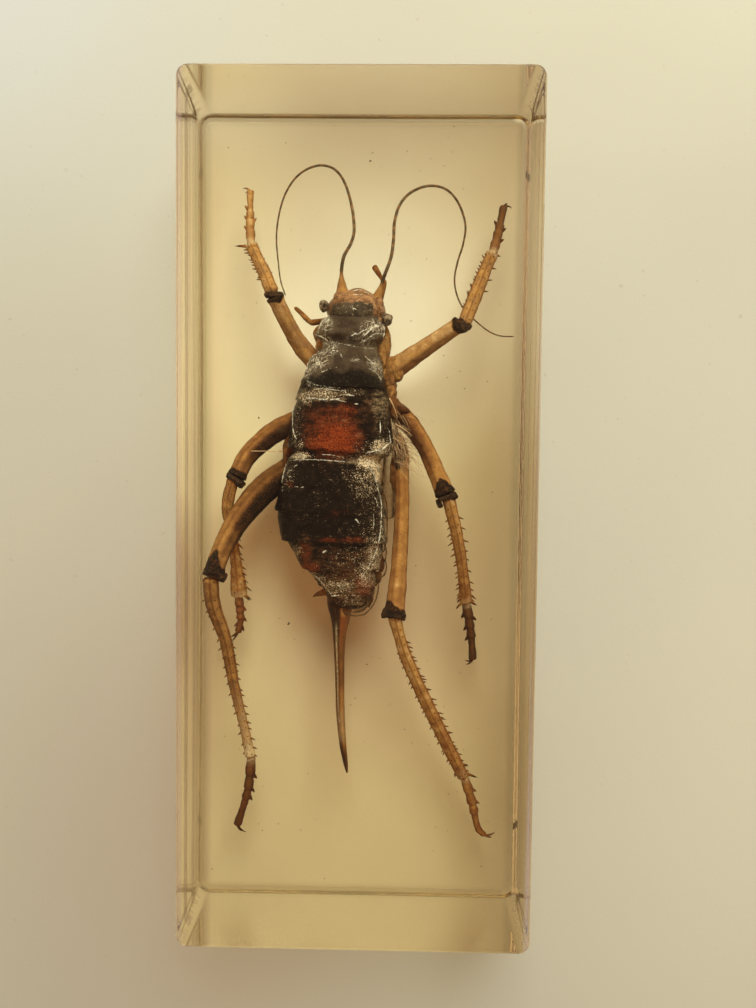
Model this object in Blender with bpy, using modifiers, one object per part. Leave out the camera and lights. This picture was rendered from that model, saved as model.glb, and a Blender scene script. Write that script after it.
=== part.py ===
"""Insect sealed in a clear cast resin bar: one dried bush-cricket in the pocket of a parted block.

Frame: metres, +Z up, the block's flat base on z = 0 and its middle on the Z axis.
The insect lies back up, its head toward +Y. +X is its right side, seen from above.
"""
import math

import bmesh
import bpy
from mathutils import Matrix, Vector

MM = 0.001

# block, mm
BLOCK_LENGTH = 110.0
BLOCK_WIDTH = 45.0
BLOCK_HEIGHT = 21.0
EDGE_RADIUS = 1.2
PARTING_HEIGHT = 10.5
PARTING_GAP = 0.3
POCKET_CLEARANCE = 0.45

# insect, mm: stations along the trunk as (y, x, z, half width)
TRUNK_FLATNESS = 0.78
TRUNK = [
    (25.6, -1.2, 10.2, 2.3), (24.0, -1.2, 10.2, 3.3), (21.4, -1.3, 10.0, 3.5), (18.0, -2.0, 10.0, 4.8),
    (16.0, -2.2, 10.1, 5.7), (13.4, -2.4, 10.2, 6.7), (9.3, -2.7, 10.2, 6.9), (8.9, -2.8, 10.2, 6.3),
    (7.8, -3.1, 10.2, 6.3), (7.4, -3.2, 10.2, 6.8), (4.6, -3.6, 10.2, 7.0), (1.4, -3.7, 10.1, 7.4),
    (-3.2, -3.5, 10.0, 7.1), (-3.6, -3.2, 10.0, 6.5), (-7.2, -2.2, 9.9, 5.6), (-7.7, -1.9, 9.9, 4.8),
    (-10.3, -1.4, 9.8, 3.7), (-10.7, -1.2, 9.8, 3.2), (-12.6, -1.0, 9.7, 1.6),
]
# saddle-shaped neck shield over the front of the trunk, same stations
SHIELD_FLATNESS = 0.86
SHIELD = [
    (26.6, -0.9, 10.3, 3.0), (25.6, -1.0, 10.4, 4.0), (23.8, -1.3, 10.5, 4.6), (22.2, -1.3, 10.6, 3.9),
    (20.8, -1.4, 10.7, 4.0), (19.4, -1.9, 10.6, 5.2), (17.3, -2.1, 10.4, 5.7), (16.4, -2.1, 10.3, 5.5),
]
HEAD_CENTRE = (-0.6, 26.6, 9.8)
HEAD_RADII = (3.9, 2.9, 4.6)
EYES = [(-4.8, 27.0, 11.3), (3.7, 25.6, 11.3)]
EYE_RADIUS = 1.05

# antennae: the wide base cone, then the thread
ANTENNAE = {
    "left": [
        (-2.3, 27.8, 11.2), (-2.5, 31.5, 11.5), (-2.2, 33.5, 11.5), (-1.3, 35.2, 11.6), (-0.9, 36.8, 11.8),
        (-1.3, 40.1, 12.0), (-2.3, 43.0, 12.0), (-3.6, 44.5, 12.0), (-5.4, 44.9, 12.0), (-7.4, 44.2, 12.0),
        (-8.9, 42.8, 12.0), (-10.1, 40.6, 11.8), (-10.8, 37.8, 11.5), (-11.0, 35.6, 11.0),
        (-10.8, 32.9, 10.5), (-10.5, 30.5, 10.0), (-9.9, 28.7, 9.5),
    ],
    "right": [
        (1.6, 26.6, 11.2), (3.0, 30.9, 11.5), (3.9, 33.5, 11.5), (4.2, 35.8, 11.6), (4.3, 37.9, 11.8),
        (5.0, 40.1, 12.0), (6.4, 41.6, 12.0), (8.6, 42.4, 12.0), (10.8, 42.0, 12.0), (12.4, 40.4, 11.8),
        (13.4, 37.7, 11.5), (13.2, 35.3, 11.0), (12.5, 32.9, 10.5), (12.2, 30.7, 10.0), (12.7, 28.6, 9.6),
        (13.6, 27.1, 9.2), (15.0, 25.8, 9.0), (16.8, 24.4, 9.0), (18.3, 23.8, 9.0), (20.2, 23.7, 9.0),
    ],
}
ANTENNA_CONE_RADIUS = 0.95
ANTENNA_RADIUS = 0.32
ANTENNA_TIP_RADIUS = 0.16

# mouth feelers
PALPS = [
    [(-3.2, 26.0, 7.6, 0.35), (-6.6, 25.5, 8.0, 0.35), (-7.6, 25.6, 7.9, 0.35), (-9.0, 27.3, 7.5, 0.3)],
    [(2.2, 26.6, 7.8, 0.35), (3.0, 30.4, 8.4, 0.32), (1.5, 32.9, 8.5, 0.42)],
]

# legs, mm: hip, thigh and knee, shin and ankle, foot as (x, y, z, radius)
LEGS = {
    "front_left": {
        "thigh": [(-5.4, 19.6, 7.4, 1.3), (-8.0, 22.4, 8.6, 1.15), (-10.6, 27.0, 11.9, 0.95), (-11.1, 28.1, 12.5, 1.05)],
        "shin": [(-11.3, 28.6, 12.5, 0.85), (-12.6, 31.5, 10.8, 0.75), (-14.6, 35.5, 8.6, 0.7)],
        "foot": [(-14.6, 35.4, 8.6, 0.65), (-14.8, 38.6, 7.6, 0.5), (-14.9, 42.9, 6.6, 0.45)],
        "claw": (-15.8, 43.0, 6.5),
        "spines": [(-1, 9, 0.55), (1, 4, 0.3)],
    },
    "front_right": {
        "thigh": [(1.6, 17.6, 7.4, 1.5), (4.8, 19.6, 8.6, 1.35), (12.2, 24.4, 12.1, 1.0), (13.0, 24.9, 12.5, 1.1)],
        "shin": [(13.6, 25.4, 12.5, 0.85), (15.2, 29.6, 10.8, 0.75), (17.2, 34.6, 8.8, 0.7)],
        "foot": [(17.2, 34.4, 8.8, 0.65), (18.0, 37.6, 7.8, 0.6), (18.7, 41.0, 6.8, 0.45)],
        "claw": (19.7, 40.9, 6.7),
        "spines": [(-1, 6, 0.45), (1, 6, 0.5)],
    },
    "middle_left": {
        "thigh": [(-6.8, 12.6, 7.2, 1.5), (-9.0, 12.0, 8.4, 1.4), (-11.8, 10.4, 10.0, 1.35),
                  (-14.6, 7.5, 12.0, 1.15), (-16.0, 4.6, 12.7, 1.2)],
        "shin": [(-16.6, 4.1, 12.6, 0.75), (-17.2, 1.1, 11.5, 0.7), (-16.8, -2.9, 9.9, 0.6),
                 (-16.4, -6.9, 8.6, 0.65), (-16.2, -11.4, 7.6, 0.8)],
        "foot": [(-16.2, -11.2, 7.6, 0.6), (-16.0, -14.8, 6.9, 0.5), (-16.4, -16.4, 6.6, 0.45)],
        "claw": (-17.3, -17.2, 6.5),
        "spines": [(-1, 10, 0.75)],
    },
    "middle_right": {
        "thigh": [(2.0, 14.8, 7.2, 1.5), (4.6, 13.8, 8.2, 1.4), (6.7, 11.9, 10.0, 1.3),
                  (8.8, 8.7, 11.8, 1.1), (11.2, 3.6, 12.7, 1.15)],
        "shin": [(11.6, 2.9, 12.6, 0.8), (13.0, -2.4, 11.2, 0.7), (13.9, -7.2, 9.8, 0.65), (14.5, -11.7, 8.6, 0.75)],
        "foot": [(14.5, -11.5, 8.6, 0.65), (15.3, -16.1, 7.6, 0.55), (15.6, -19.6, 7.2, 0.5)],
        "claw": (14.7, -20.0, 7.1),
        "spines": [(-1, 6, 0.55), (1, 9, 0.55)],
    },
    "hind_left": {
        "thigh": [(-7.4, 7.0, 7.0, 1.7), (-10.1, 5.3, 8.2, 1.75), (-12.9, 2.9, 10.2, 1.8),
                  (-16.0, -1.4, 13.2, 1.45), (-18.2, -6.2, 15.2, 1.2), (-18.7, -7.8, 15.4, 1.35)],
        "shin": [(-19.0, -8.8, 15.2, 1.0), (-18.7, -11.8, 14.0, 0.85), (-17.3, -16.7, 12.2, 0.75),
                 (-16.4, -22.9, 10.4, 0.65), (-15.3, -28.2, 9.2, 0.6), (-14.3, -33.1, 8.6, 0.65)],
        "foot": [(-14.3, -32.9, 8.6, 0.6), (-14.9, -37.9, 7.4, 0.55), (-16.1, -42.6, 6.8, 0.45)],
        "claw": (-15.4, -43.8, 6.7),
        "spines": [(1, 9, 0.5), (-1, 9, 0.6)],
    },
    "hind_right": {
        "thigh": [(1.8, 11.0, 7.4, 1.6), (5.0, 9.4, 8.4, 1.3), (5.6, 4.7, 9.8, 1.15),
                  (5.5, -1.8, 12.2, 1.1), (5.1, -8.9, 14.6, 1.15), (5.0, -12.2, 15.3, 1.3)],
        "shin": [(5.0, -13.2, 15.2, 0.95), (6.5, -18.1, 13.6, 0.75), (9.1, -24.3, 11.6, 0.75),
                 (12.2, -30.7, 9.8, 0.75), (14.6, -35.4, 8.8, 0.7)],
        "foot": [(14.6, -35.2, 8.8, 0.6), (15.8, -39.1, 7.6, 0.5), (16.7, -42.9, 7.0, 0.4),
                 (17.6, -43.9, 6.9, 0.35)],
        "claw": (18.9, -43.4, 6.8),
        "spines": [(1, 9, 0.5), (-1, 12, 0.55)],
    },
}
# hip joints that show beside the shield, mm: centre and radii
COXAE = [((3.3, 21.4, 8.4), (1.5, 3.4, 2.0)), ((-5.6, 22.4, 8.0), (1.2, 1.6, 1.6))]
SPINE_RADIUS = 0.17
CLAW_RADIUS = 0.22

# egg-layer, a blade taller than wide, and the cerci: (x, y, z, half width)
OVIPOSITOR_TALLNESS = 1.7
OVIPOSITOR = [
    (-2.2, -10.0, 9.6, 1.35), (-2.5, -13.2, 9.4, 1.25), (-2.35, -17.2, 9.4, 0.75), (-2.3, -22.2, 9.6, 0.62),
    (-2.15, -26.6, 9.9, 0.6), (-1.7, -31.2, 10.4, 0.5), (-1.15, -34.3, 10.9, 0.16),
]
CERCI = [
    [(-2.6, -10.0, 9.8, 0.5), (-4.4, -10.6, 9.3, 0.42), (-6.0, -11.3, 9.0, 0.12)],
    [(0.6, -9.6, 9.8, 0.5), (1.9, -11.0, 9.3, 0.4), (1.6, -12.6, 9.0, 0.12)],
]
# fibrous wisp on the base of the right middle leg
WISP_CENTRE = (6.0, 11.4, 10.6)
WISP_RADII = (2.3, 4.0, 1.6)


def new_collection(name):
    group = bpy.data.collections.new(name)
    bpy.context.scene.collection.children.link(group)
    return group


def clear_scene():
    for item in list(bpy.data.objects):
        bpy.data.objects.remove(item, do_unlink=True)


def new_material(name, colour, roughness, alpha=1.0):
    material = bpy.data.materials.new(name)
    material.use_nodes = True
    shader = material.node_tree.nodes["Principled BSDF"]
    shader.inputs["Base Color"].default_value = (*colour, 1.0)
    shader.inputs["Roughness"].default_value = roughness
    shader.inputs["Metallic"].default_value = 0.0
    shader.inputs["Alpha"].default_value = alpha
    return material


def mesh_object(name, mesh, group):
    item = bpy.data.objects.new(name, mesh)
    group.objects.link(item)
    return item


def tube(name, points, group, ring=1, flatness=1.0, grow=0.0, smooth=False):
    """Round tube through points (x, y, z, radius) in mm; flatness squeezes or stretches it upright."""
    curve = bpy.data.curves.new(name, "CURVE")
    curve.dimensions = "3D"
    curve.bevel_depth = 1.0
    curve.bevel_resolution = ring
    curve.use_fill_caps = True
    spline = curve.splines.new("POLY")
    spline.points.add(len(points) - 1)
    for knot, (x, y, z, radius) in zip(spline.points, points):
        knot.co = (x * MM, y * MM, z * MM / flatness, 1.0)
        knot.radius = (radius + grow) * MM
    guide = mesh_object(name + "_path", curve, group)
    bpy.context.view_layer.update()
    evaluated = guide.evaluated_get(bpy.context.evaluated_depsgraph_get())
    mesh = bpy.data.meshes.new_from_object(evaluated)
    matrix = guide.matrix_world.copy()
    bpy.data.objects.remove(guide, do_unlink=True)
    shape = bmesh.new()
    shape.from_mesh(mesh)
    bmesh.ops.remove_doubles(shape, verts=shape.verts, dist=0.000001)
    bmesh.ops.scale(shape, vec=(1.0, 1.0, flatness), verts=shape.verts)
    bmesh.ops.recalc_face_normals(shape, faces=shape.faces)
    shape.to_mesh(mesh)
    shape.free()
    item = mesh_object(name, mesh, group)
    item.matrix_world = matrix
    return item


def ball(name, centre, radii, group, segments=12, rings=8, grow=0.0):
    shape = bmesh.new()
    bmesh.ops.create_uvsphere(shape, u_segments=segments, v_segments=rings, radius=1.0)
    bmesh.ops.scale(shape, vec=[(r + grow) * MM for r in radii], verts=shape.verts)
    bmesh.ops.translate(shape, vec=Vector(centre) * MM, verts=shape.verts)
    mesh = bpy.data.meshes.new(name)
    shape.to_mesh(mesh)
    shape.free()
    return mesh_object(name, mesh, group)


def spike(name, base, tip, radius, group, sides=4):
    """Pointed cone from base to tip, mm."""
    base, tip = Vector(base), Vector(tip)
    axis = tip - base
    turn = Vector((0.0, 0.0, 1.0)).rotation_difference(axis).to_matrix().to_4x4()
    shape = bmesh.new()
    bmesh.ops.create_cone(shape, cap_ends=True, segments=sides, radius1=radius * MM, radius2=0.0,
                          depth=axis.length * MM,
                          matrix=Matrix.Translation((base + tip) * 0.5 * MM) @ turn)
    mesh = bpy.data.meshes.new(name)
    shape.to_mesh(mesh)
    shape.free()
    return mesh_object(name, mesh, group)


def along(points, share):
    """Place, direction and radius at a share of the length of a path of (x, y, z, radius)."""
    spans = [(Vector(b[:3]) - Vector(a[:3])).length for a, b in zip(points, points[1:])]
    left = share * sum(spans)
    for (a, b), span in zip(zip(points, points[1:]), spans):
        if left <= span or b is points[-1]:
            part = min(left / span, 1.0)
            start, end = Vector(a[:3]), Vector(b[:3])
            return start.lerp(end, part), (end - start).normalized(), a[3] + (b[3] - a[3]) * part
        left -= span


def past_ends(points, before, after):
    """The same path with its first and last points moved outward along it, mm."""
    start, second = Vector(points[0][:3]), Vector(points[1][:3])
    end, previous = Vector(points[-1][:3]), Vector(points[-2][:3])
    first = start + (start - second).normalized() * before
    last = end + (end - previous).normalized() * after
    return [(*first, points[0][3])] + list(points[1:-1]) + [(*last, points[-1][3])]


def antenna_points(points):
    """Cone at the root, then a thread that thins evenly to its tip."""
    last = len(points) - 1
    shaped = [(*points[0], ANTENNA_CONE_RADIUS)]
    for step, point in enumerate(points[1:]):
        shaped.append((*point, ANTENNA_RADIUS + (ANTENNA_TIP_RADIUS - ANTENNA_RADIUS) * step / (last - 1)))
    return shaped


def add_spines(name, leg, group):
    for side, count, length in leg["spines"]:
        for index in range(count):
            place, heading, radius = along(leg["shin"], 0.25 + 0.7 * index / (count - 1))
            outward = heading.cross(Vector((0.0, 0.0, 1.0))).normalized() * side
            base = place + outward * radius * 0.4
            tip = place + outward * (radius + length * 0.75) + heading * length * 0.8
            spike(f"{name}_spine_{side}_{index}", base, tip, SPINE_RADIUS, group, sides=3)


def build_pocket(tools, members):
    """The hollow around the insect: its members again, plainer and grown by the clearance."""
    grow = POCKET_CLEARANCE
    trunk = [(x, y, z, r) for y, x, z, r in TRUNK]
    first, last = trunk[0], trunk[-1]
    ends = [(first[0], first[1] + grow, *first[2:])] + trunk[1:-1] + [(last[0], last[1] - 2 * grow, *last[2:])]
    pocket = tube("pocket", ends, tools, ring=4, flatness=TRUNK_FLATNESS, grow=grow * 2.2)
    tube("pocket_shield", [(x, y, z, r) for y, x, z, r in SHIELD], members, ring=4,
         flatness=SHIELD_FLATNESS, grow=grow * 1.4)
    ball("pocket_head", HEAD_CENTRE, HEAD_RADII, members, segments=10, rings=8, grow=grow * 1.5)
    for side, centre in zip(("left", "right"), EYES):
        ball(f"pocket_eye_{side}", centre, [EYE_RADIUS] * 3, members, segments=8, rings=6, grow=grow * 1.3)
    for index, (centre, radii) in enumerate(COXAE):
        ball(f"pocket_coxa_{index}", centre, radii, members, segments=8, rings=6, grow=grow * 1.4)
    ball("pocket_wisp", WISP_CENTRE, WISP_RADII, members, segments=8, rings=6, grow=grow * 1.7)
    for side, points in ANTENNAE.items():
        tube(f"pocket_antenna_{side}", past_ends(antenna_points(points), 0.0, grow), members, ring=0,
             grow=grow * 1.5)
    for index, points in enumerate(PALPS):
        tube(f"pocket_palp_{index}", past_ends(points, 0.0, grow), members, ring=0, grow=grow * 1.6)
    for index, points in enumerate(CERCI):
        tube(f"pocket_cercus_{index}", past_ends(points, 0.0, grow), members, ring=0, grow=grow * 1.6)
    tube("pocket_ovipositor", past_ends(OVIPOSITOR, 0.0, grow * 1.5), members, ring=2,
         flatness=OVIPOSITOR_TALLNESS, grow=grow)
    for name, leg in LEGS.items():
        reach = max(length for side, count, length in leg["spines"])
        tube(f"pocket_{name}_thigh", past_ends(leg["thigh"], 0.0, 1.2), members, ring=1, grow=grow * 2.0)
        tube(f"pocket_{name}_shin", past_ends(leg["shin"], 0.8, grow), members, ring=1, grow=grow + reach)
        foot = leg["foot"] + [(*leg["claw"], leg["foot"][-1][3] * 0.5)]
        tube(f"pocket_{name}_foot", past_ends(foot, 0.0, grow), members, ring=1, grow=grow * 1.2)
    return pocket


def build_half(name, low, high, pocket, group, tools):
    """One half of the cast bar: the rounded bar, kept between two heights, less the pocket."""
    shape = bmesh.new()
    bmesh.ops.create_cube(shape, size=1.0)
    bmesh.ops.scale(shape, vec=(BLOCK_WIDTH * MM, BLOCK_LENGTH * MM, BLOCK_HEIGHT * MM), verts=shape.verts)
    bmesh.ops.translate(shape, vec=(0.0, 0.0, BLOCK_HEIGHT * MM / 2), verts=shape.verts)
    mesh = bpy.data.meshes.new(name)
    shape.to_mesh(mesh)
    shape.free()
    half = mesh_object(name, mesh, group)
    edges = half.modifiers.new("rounded_edges", "BEVEL")
    edges.width = EDGE_RADIUS * MM
    edges.segments = 3
    slab_shape = bmesh.new()
    bmesh.ops.create_cube(slab_shape, size=1.0)
    size = (BLOCK_WIDTH * 1.2 * MM, BLOCK_LENGTH * 1.2 * MM, (high - low) * MM)
    bmesh.ops.scale(slab_shape, vec=size, verts=slab_shape.verts)
    bmesh.ops.translate(slab_shape, vec=(0.0, 0.0, (low + high) / 2 * MM), verts=slab_shape.verts)
    slab_mesh = bpy.data.meshes.new(name + "_slab")
    slab_shape.to_mesh(slab_mesh)
    slab_shape.free()
    slab = mesh_object(name + "_slab", slab_mesh, tools)
    for label, operation, cutter in (("parting", "INTERSECT", slab), ("pocket", "DIFFERENCE", pocket)):
        cut = half.modifiers.new(label, "BOOLEAN")
        cut.operation = operation
        cut.object = cutter
        cut.solver = "EXACT"
    return half


def build_insect(group, tools):
    body = tube("insect", [(x, y, z, r) for y, x, z, r in TRUNK], group, ring=5, flatness=TRUNK_FLATNESS)
    tube("shield", [(x, y, z, r) for y, x, z, r in SHIELD], tools, ring=5, flatness=SHIELD_FLATNESS)
    ball("head", HEAD_CENTRE, HEAD_RADII, tools)
    for side, centre in zip(("left", "right"), EYES):
        ball(f"eye_{side}", centre, [EYE_RADIUS] * 3, tools, segments=10, rings=6)
    for side, points in ANTENNAE.items():
        tube(f"antenna_{side}", antenna_points(points), tools)
    for index, (centre, radii) in enumerate(COXAE):
        ball(f"coxa_{index}", centre, radii, tools, segments=10, rings=7)
    for index, points in enumerate(PALPS):
        tube(f"palp_{index}", points, tools)
    for index, points in enumerate(CERCI):
        tube(f"cercus_{index}", points, tools)
    tube("ovipositor", OVIPOSITOR, tools, ring=2, flatness=OVIPOSITOR_TALLNESS)
    ball("wisp", WISP_CENTRE, WISP_RADII, tools, segments=10, rings=6)
    for name, leg in LEGS.items():
        tube(f"{name}_thigh", leg["thigh"], tools, ring=2)
        tube(f"{name}_shin", leg["shin"], tools, ring=2)
        tube(f"{name}_foot", leg["foot"], tools)
        thigh, shin, foot = leg["thigh"][-1], leg["shin"][0], leg["foot"][-1]
        knee = (Vector(thigh[:3]) + Vector(shin[:3])) * 0.5
        ball(f"{name}_knee", knee, [thigh[3]] * 3, tools, segments=8, rings=6)
        spike(f"{name}_claw", foot[:3], leg["claw"], CLAW_RADIUS, tools)
        add_spines(name, leg, tools)
    return body


def hide_tools(group):
    for item in group.objects:
        item.hide_render = True
        item.display_type = "WIRE"


def join_members(item, members):
    joined = item.modifiers.new("members", "BOOLEAN")
    joined.operation = "UNION"
    joined.operand_type = "COLLECTION"
    joined.collection = members
    joined.solver = "EXACT"


def main():
    clear_scene()
    parts = new_collection("insect_in_resin_block")
    cutters = new_collection("cutters")
    insect_members = new_collection("insect_members")
    pocket_members = new_collection("pocket_members")
    insect = build_insect(parts, insect_members)
    join_members(insect, insect_members)
    insect.data.materials.append(new_material("insect_shell", (0.12, 0.06, 0.03), 0.45))
    pocket = build_pocket(cutters, pocket_members)
    join_members(pocket, pocket_members)
    resin = new_material("clear_resin", (0.86, 0.80, 0.58), 0.08, alpha=0.35)
    middle = PARTING_GAP / 2
    lower = build_half("resin_lower_half", -1.0, PARTING_HEIGHT - middle, pocket, parts, cutters)
    upper = build_half("resin_upper_half", PARTING_HEIGHT + middle, BLOCK_HEIGHT + 1.0, pocket, parts, cutters)
    for half in (lower, upper):
        half.data.materials.append(resin)
    for group in (cutters, insect_members, pocket_members):
        hide_tools(group)


main()
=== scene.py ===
import math
import random

import bmesh
import bpy
from mathutils import Matrix, Vector, noise
from mathutils.bvhtree import BVHTree


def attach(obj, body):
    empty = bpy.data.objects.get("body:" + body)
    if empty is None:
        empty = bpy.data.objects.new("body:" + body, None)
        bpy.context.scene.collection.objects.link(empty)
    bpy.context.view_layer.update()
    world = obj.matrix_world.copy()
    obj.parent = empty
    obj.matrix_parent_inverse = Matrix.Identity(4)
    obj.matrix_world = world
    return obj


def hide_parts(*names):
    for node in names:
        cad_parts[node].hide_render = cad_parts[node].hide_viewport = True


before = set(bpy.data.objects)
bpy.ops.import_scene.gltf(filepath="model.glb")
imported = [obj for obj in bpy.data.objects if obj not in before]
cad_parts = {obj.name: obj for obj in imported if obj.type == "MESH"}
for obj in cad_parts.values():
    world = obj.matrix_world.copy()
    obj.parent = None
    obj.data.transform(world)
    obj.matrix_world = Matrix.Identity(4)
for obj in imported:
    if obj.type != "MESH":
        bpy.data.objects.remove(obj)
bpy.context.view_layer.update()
mm = 0.001


class Value:
    # one output socket of a material, so that sums on it read as plain maths
    def __init__(self, paint, socket):
        self.paint, self.socket = paint, socket

    def __add__(self, other):
        return self.paint.maths("ADD", self, other)

    def __sub__(self, other):
        return self.paint.maths("SUBTRACT", self, other)

    def __rsub__(self, other):
        return self.paint.maths("SUBTRACT", other, self)

    def __mul__(self, other):
        return self.paint.maths("MULTIPLY", self, other)

    __radd__ = __add__
    __rmul__ = __mul__


class Paint:
    # a material, or the world, and the one way its nodes are made
    def __init__(self, name, world=None):
        self.material = world or bpy.data.materials.new(name)
        self.material.use_nodes = True
        self.tree = self.material.node_tree
        self.tree.nodes.clear()
        self.output = self.tree.nodes.new("ShaderNodeOutputWorld" if world else "ShaderNodeOutputMaterial")

    def node(self, kind, settings, inputs, output=0):
        made = self.tree.nodes.new(kind)
        for key, value in settings.items():
            if key == "stops":
                ramp = made.color_ramp
                while len(ramp.elements) < len(value):
                    ramp.elements.new(1.0)
                for element, (place, colour) in zip(ramp.elements, value):
                    element.position = place
                    element.color = (*colour, 1.0)
            else:
                setattr(made, key, value)
        for key, value in inputs.items():
            socket = made.inputs[key]
            if isinstance(value, Value):
                self.tree.links.new(value.socket, socket)
            elif isinstance(value, tuple) and len(value) == 3 and socket.type == "RGBA":
                socket.default_value = (*value, 1.0)
            else:
                socket.default_value = value
        return Value(self, made.outputs[output])

    def maths(self, operation, *terms):
        return self.node("ShaderNodeMath", {"operation": operation}, dict(enumerate(terms)))

    def step(self, value, low, high):
        # 0 below low, 1 above high, eased between
        return self.node("ShaderNodeMapRange", {"interpolation_type": "SMOOTHSTEP"},
                         {"Value": value, "From Min": low, "From Max": high})

    def blend(self, share, first, second):
        # colour mix
        return self.node("ShaderNodeMix", {"data_type": "RGBA"}, {0: share, 6: first, 7: second}, 2)

    def place(self, stretch=(1, 1, 1), turn=(0, 0, 0)):
        # object coordinates, in mm, stretched
        spot = self.node("ShaderNodeTexCoord", {}, {}, "Object")
        scale = tuple(s / 1000 for s in stretch)
        return self.node("ShaderNodeMapping", {"vector_type": "TEXTURE"},
                         {"Vector": spot, "Scale": scale, "Rotation": turn})

    def grain(self, size, detail=2, rough=0.5, stretch=(1, 1, 1), turn=(0, 0, 0)):
        # noise with cells of about that size in mm
        return self.node("ShaderNodeTexNoise", {}, {
            "Vector": self.place(stretch, turn), "Scale": 1 / size, "Detail": detail, "Roughness": rough})

    def cells(self, size):
        # distance to the nearest of many points, about that size apart in mm
        return self.node("ShaderNodeTexVoronoi", {}, {"Vector": self.place(), "Scale": 1 / size})

    def axis(self, name):
        return self.node("ShaderNodeSeparateXYZ", {}, {"Vector": self.place()}, name)

    def pool(self, x, y, wide, long):
        # 1 in the middle of a soft oval seen from above, 0 outside it; mm
        spot = self.place((wide, long, 1000000))
        away = self.node("ShaderNodeVectorMath", {"operation": "DISTANCE"},
                         {0: spot, 1: (x / wide, y / long, 0)}, "Value")
        return self.step(away, 1.0, 0.0)

    def crinkle(self, size, fine, stretch=(1, 1, 1), turn=(0, 0, 0)):
        # thin wandering lines, 1 on the line: where the noise passes its middle
        cloud = self.grain(size, detail=3, rough=0.55, stretch=stretch, turn=turn)
        return self.step(self.maths("ABSOLUTE", cloud - 0.5), fine, 0.0)

    def mark(self, name):
        # a mask painted on the mesh
        return self.node("ShaderNodeAttribute", {"attribute_name": name}, {}, "Fac")

    def bump(self, height, depth):
        return self.node("ShaderNodeBump", {}, {"Height": height, "Distance": depth * mm, "Strength": 1.0})

    def mix(self, share, first, second):
        return self.node("ShaderNodeMixShader", {}, {0: share, 1: first, 2: second})

    def clear(self, colour):
        return self.node("ShaderNodeBsdfTransparent", {}, {"Color": colour})

    def onlyShadow(self, seen, shadow):
        # one surface for the eye, another for the light that passes
        return self.mix(self.node("ShaderNodeLightPath", {}, {}, "Is Shadow Ray"), seen, shadow)

    def surface(self, base, rough, height, depth, more):
        return self.node("ShaderNodeBsdfPrincipled", {}, {
            "Base Color": base, "Roughness": rough, "Normal": self.bump(height, depth), **more})

    def shell(self, base, rough, height, depth, shine):
        # thin shell lets some warm light through, so its shadow is soft and reddish
        seen = self.surface(base, rough, height, depth, {"Specular IOR Level": shine, "IOR": 1.45})
        return self.finish(self.onlyShadow(seen, self.clear((0.50, 0.335, 0.235))))

    def finish(self, surface):
        self.tree.links.new(surface.socket, self.output.inputs["Surface"])
        return self.material


def newShape(*marks):
    # an empty mesh being modelled in mm, and the masks that its paint reads
    shape = bmesh.new()
    for name in marks:
        shape.verts.layers.float.new(name)
    return shape, *(shape.verts.layers.float[name] for name in marks)


def makePiece(name, shape, material, node="insect"):
    # mm to metres, normals outward, smooth, then in the place of the CAD node
    bmesh.ops.recalc_face_normals(shape, faces=shape.faces)
    bmesh.ops.scale(shape, vec=(mm, mm, mm), verts=shape.verts)
    mesh = bpy.data.meshes.new(name)
    shape.to_mesh(mesh)
    shape.free()
    mesh.materials.append(material)
    mesh.shade_smooth()
    piece = bpy.data.objects.new(name, mesh)
    bpy.context.scene.collection.objects.link(piece)
    if node == "insect":
        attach(piece, "root")
        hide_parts("insect")
    print(name, len(mesh.polygons), "faces")
    return piece


up = Vector((0, 0, 1))


def pathLength(points):
    return sum(math.dist(a[:3], b[:3]) for a, b in zip(points, points[1:]))


def squared(angle, power):
    # how far a circle swells towards a square at an angle; power 2 leaves it round
    return (abs(math.cos(angle)) ** power + abs(math.sin(angle)) ** power) ** (-1 / power)


def eased(points, count):
    # a smooth run through the points, as evenly spaced stations
    reach = [0.0]
    for a, b in zip(points, points[1:]):
        reach.append(reach[-1] + math.dist(a[:3], b[:3]))
    slopes = []
    for i in range(len(points)):
        low, high = max(i - 1, 0), min(i + 1, len(points) - 1)
        slopes.append([(q - p) / (reach[high] - reach[low]) for p, q in zip(points[low], points[high])])
    run, part = [], 0
    for n in range(count + 1):
        spot = reach[-1] * n / count
        while part < len(points) - 2 and spot > reach[part + 1]:
            part += 1
        span = reach[part + 1] - reach[part]
        t = (spot - reach[part]) / span
        a, b, c, d = 2 * t**3 - 3 * t**2 + 1, t**3 - 2 * t**2 + t, 3 * t**2 - 2 * t**3, t**3 - t**2
        run.append(tuple(a * p + b * span * m + c * q + d * span * k for p, m, q, k in
                         zip(points[part], slopes[part], points[part + 1], slopes[part + 1])))
    return run


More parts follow.
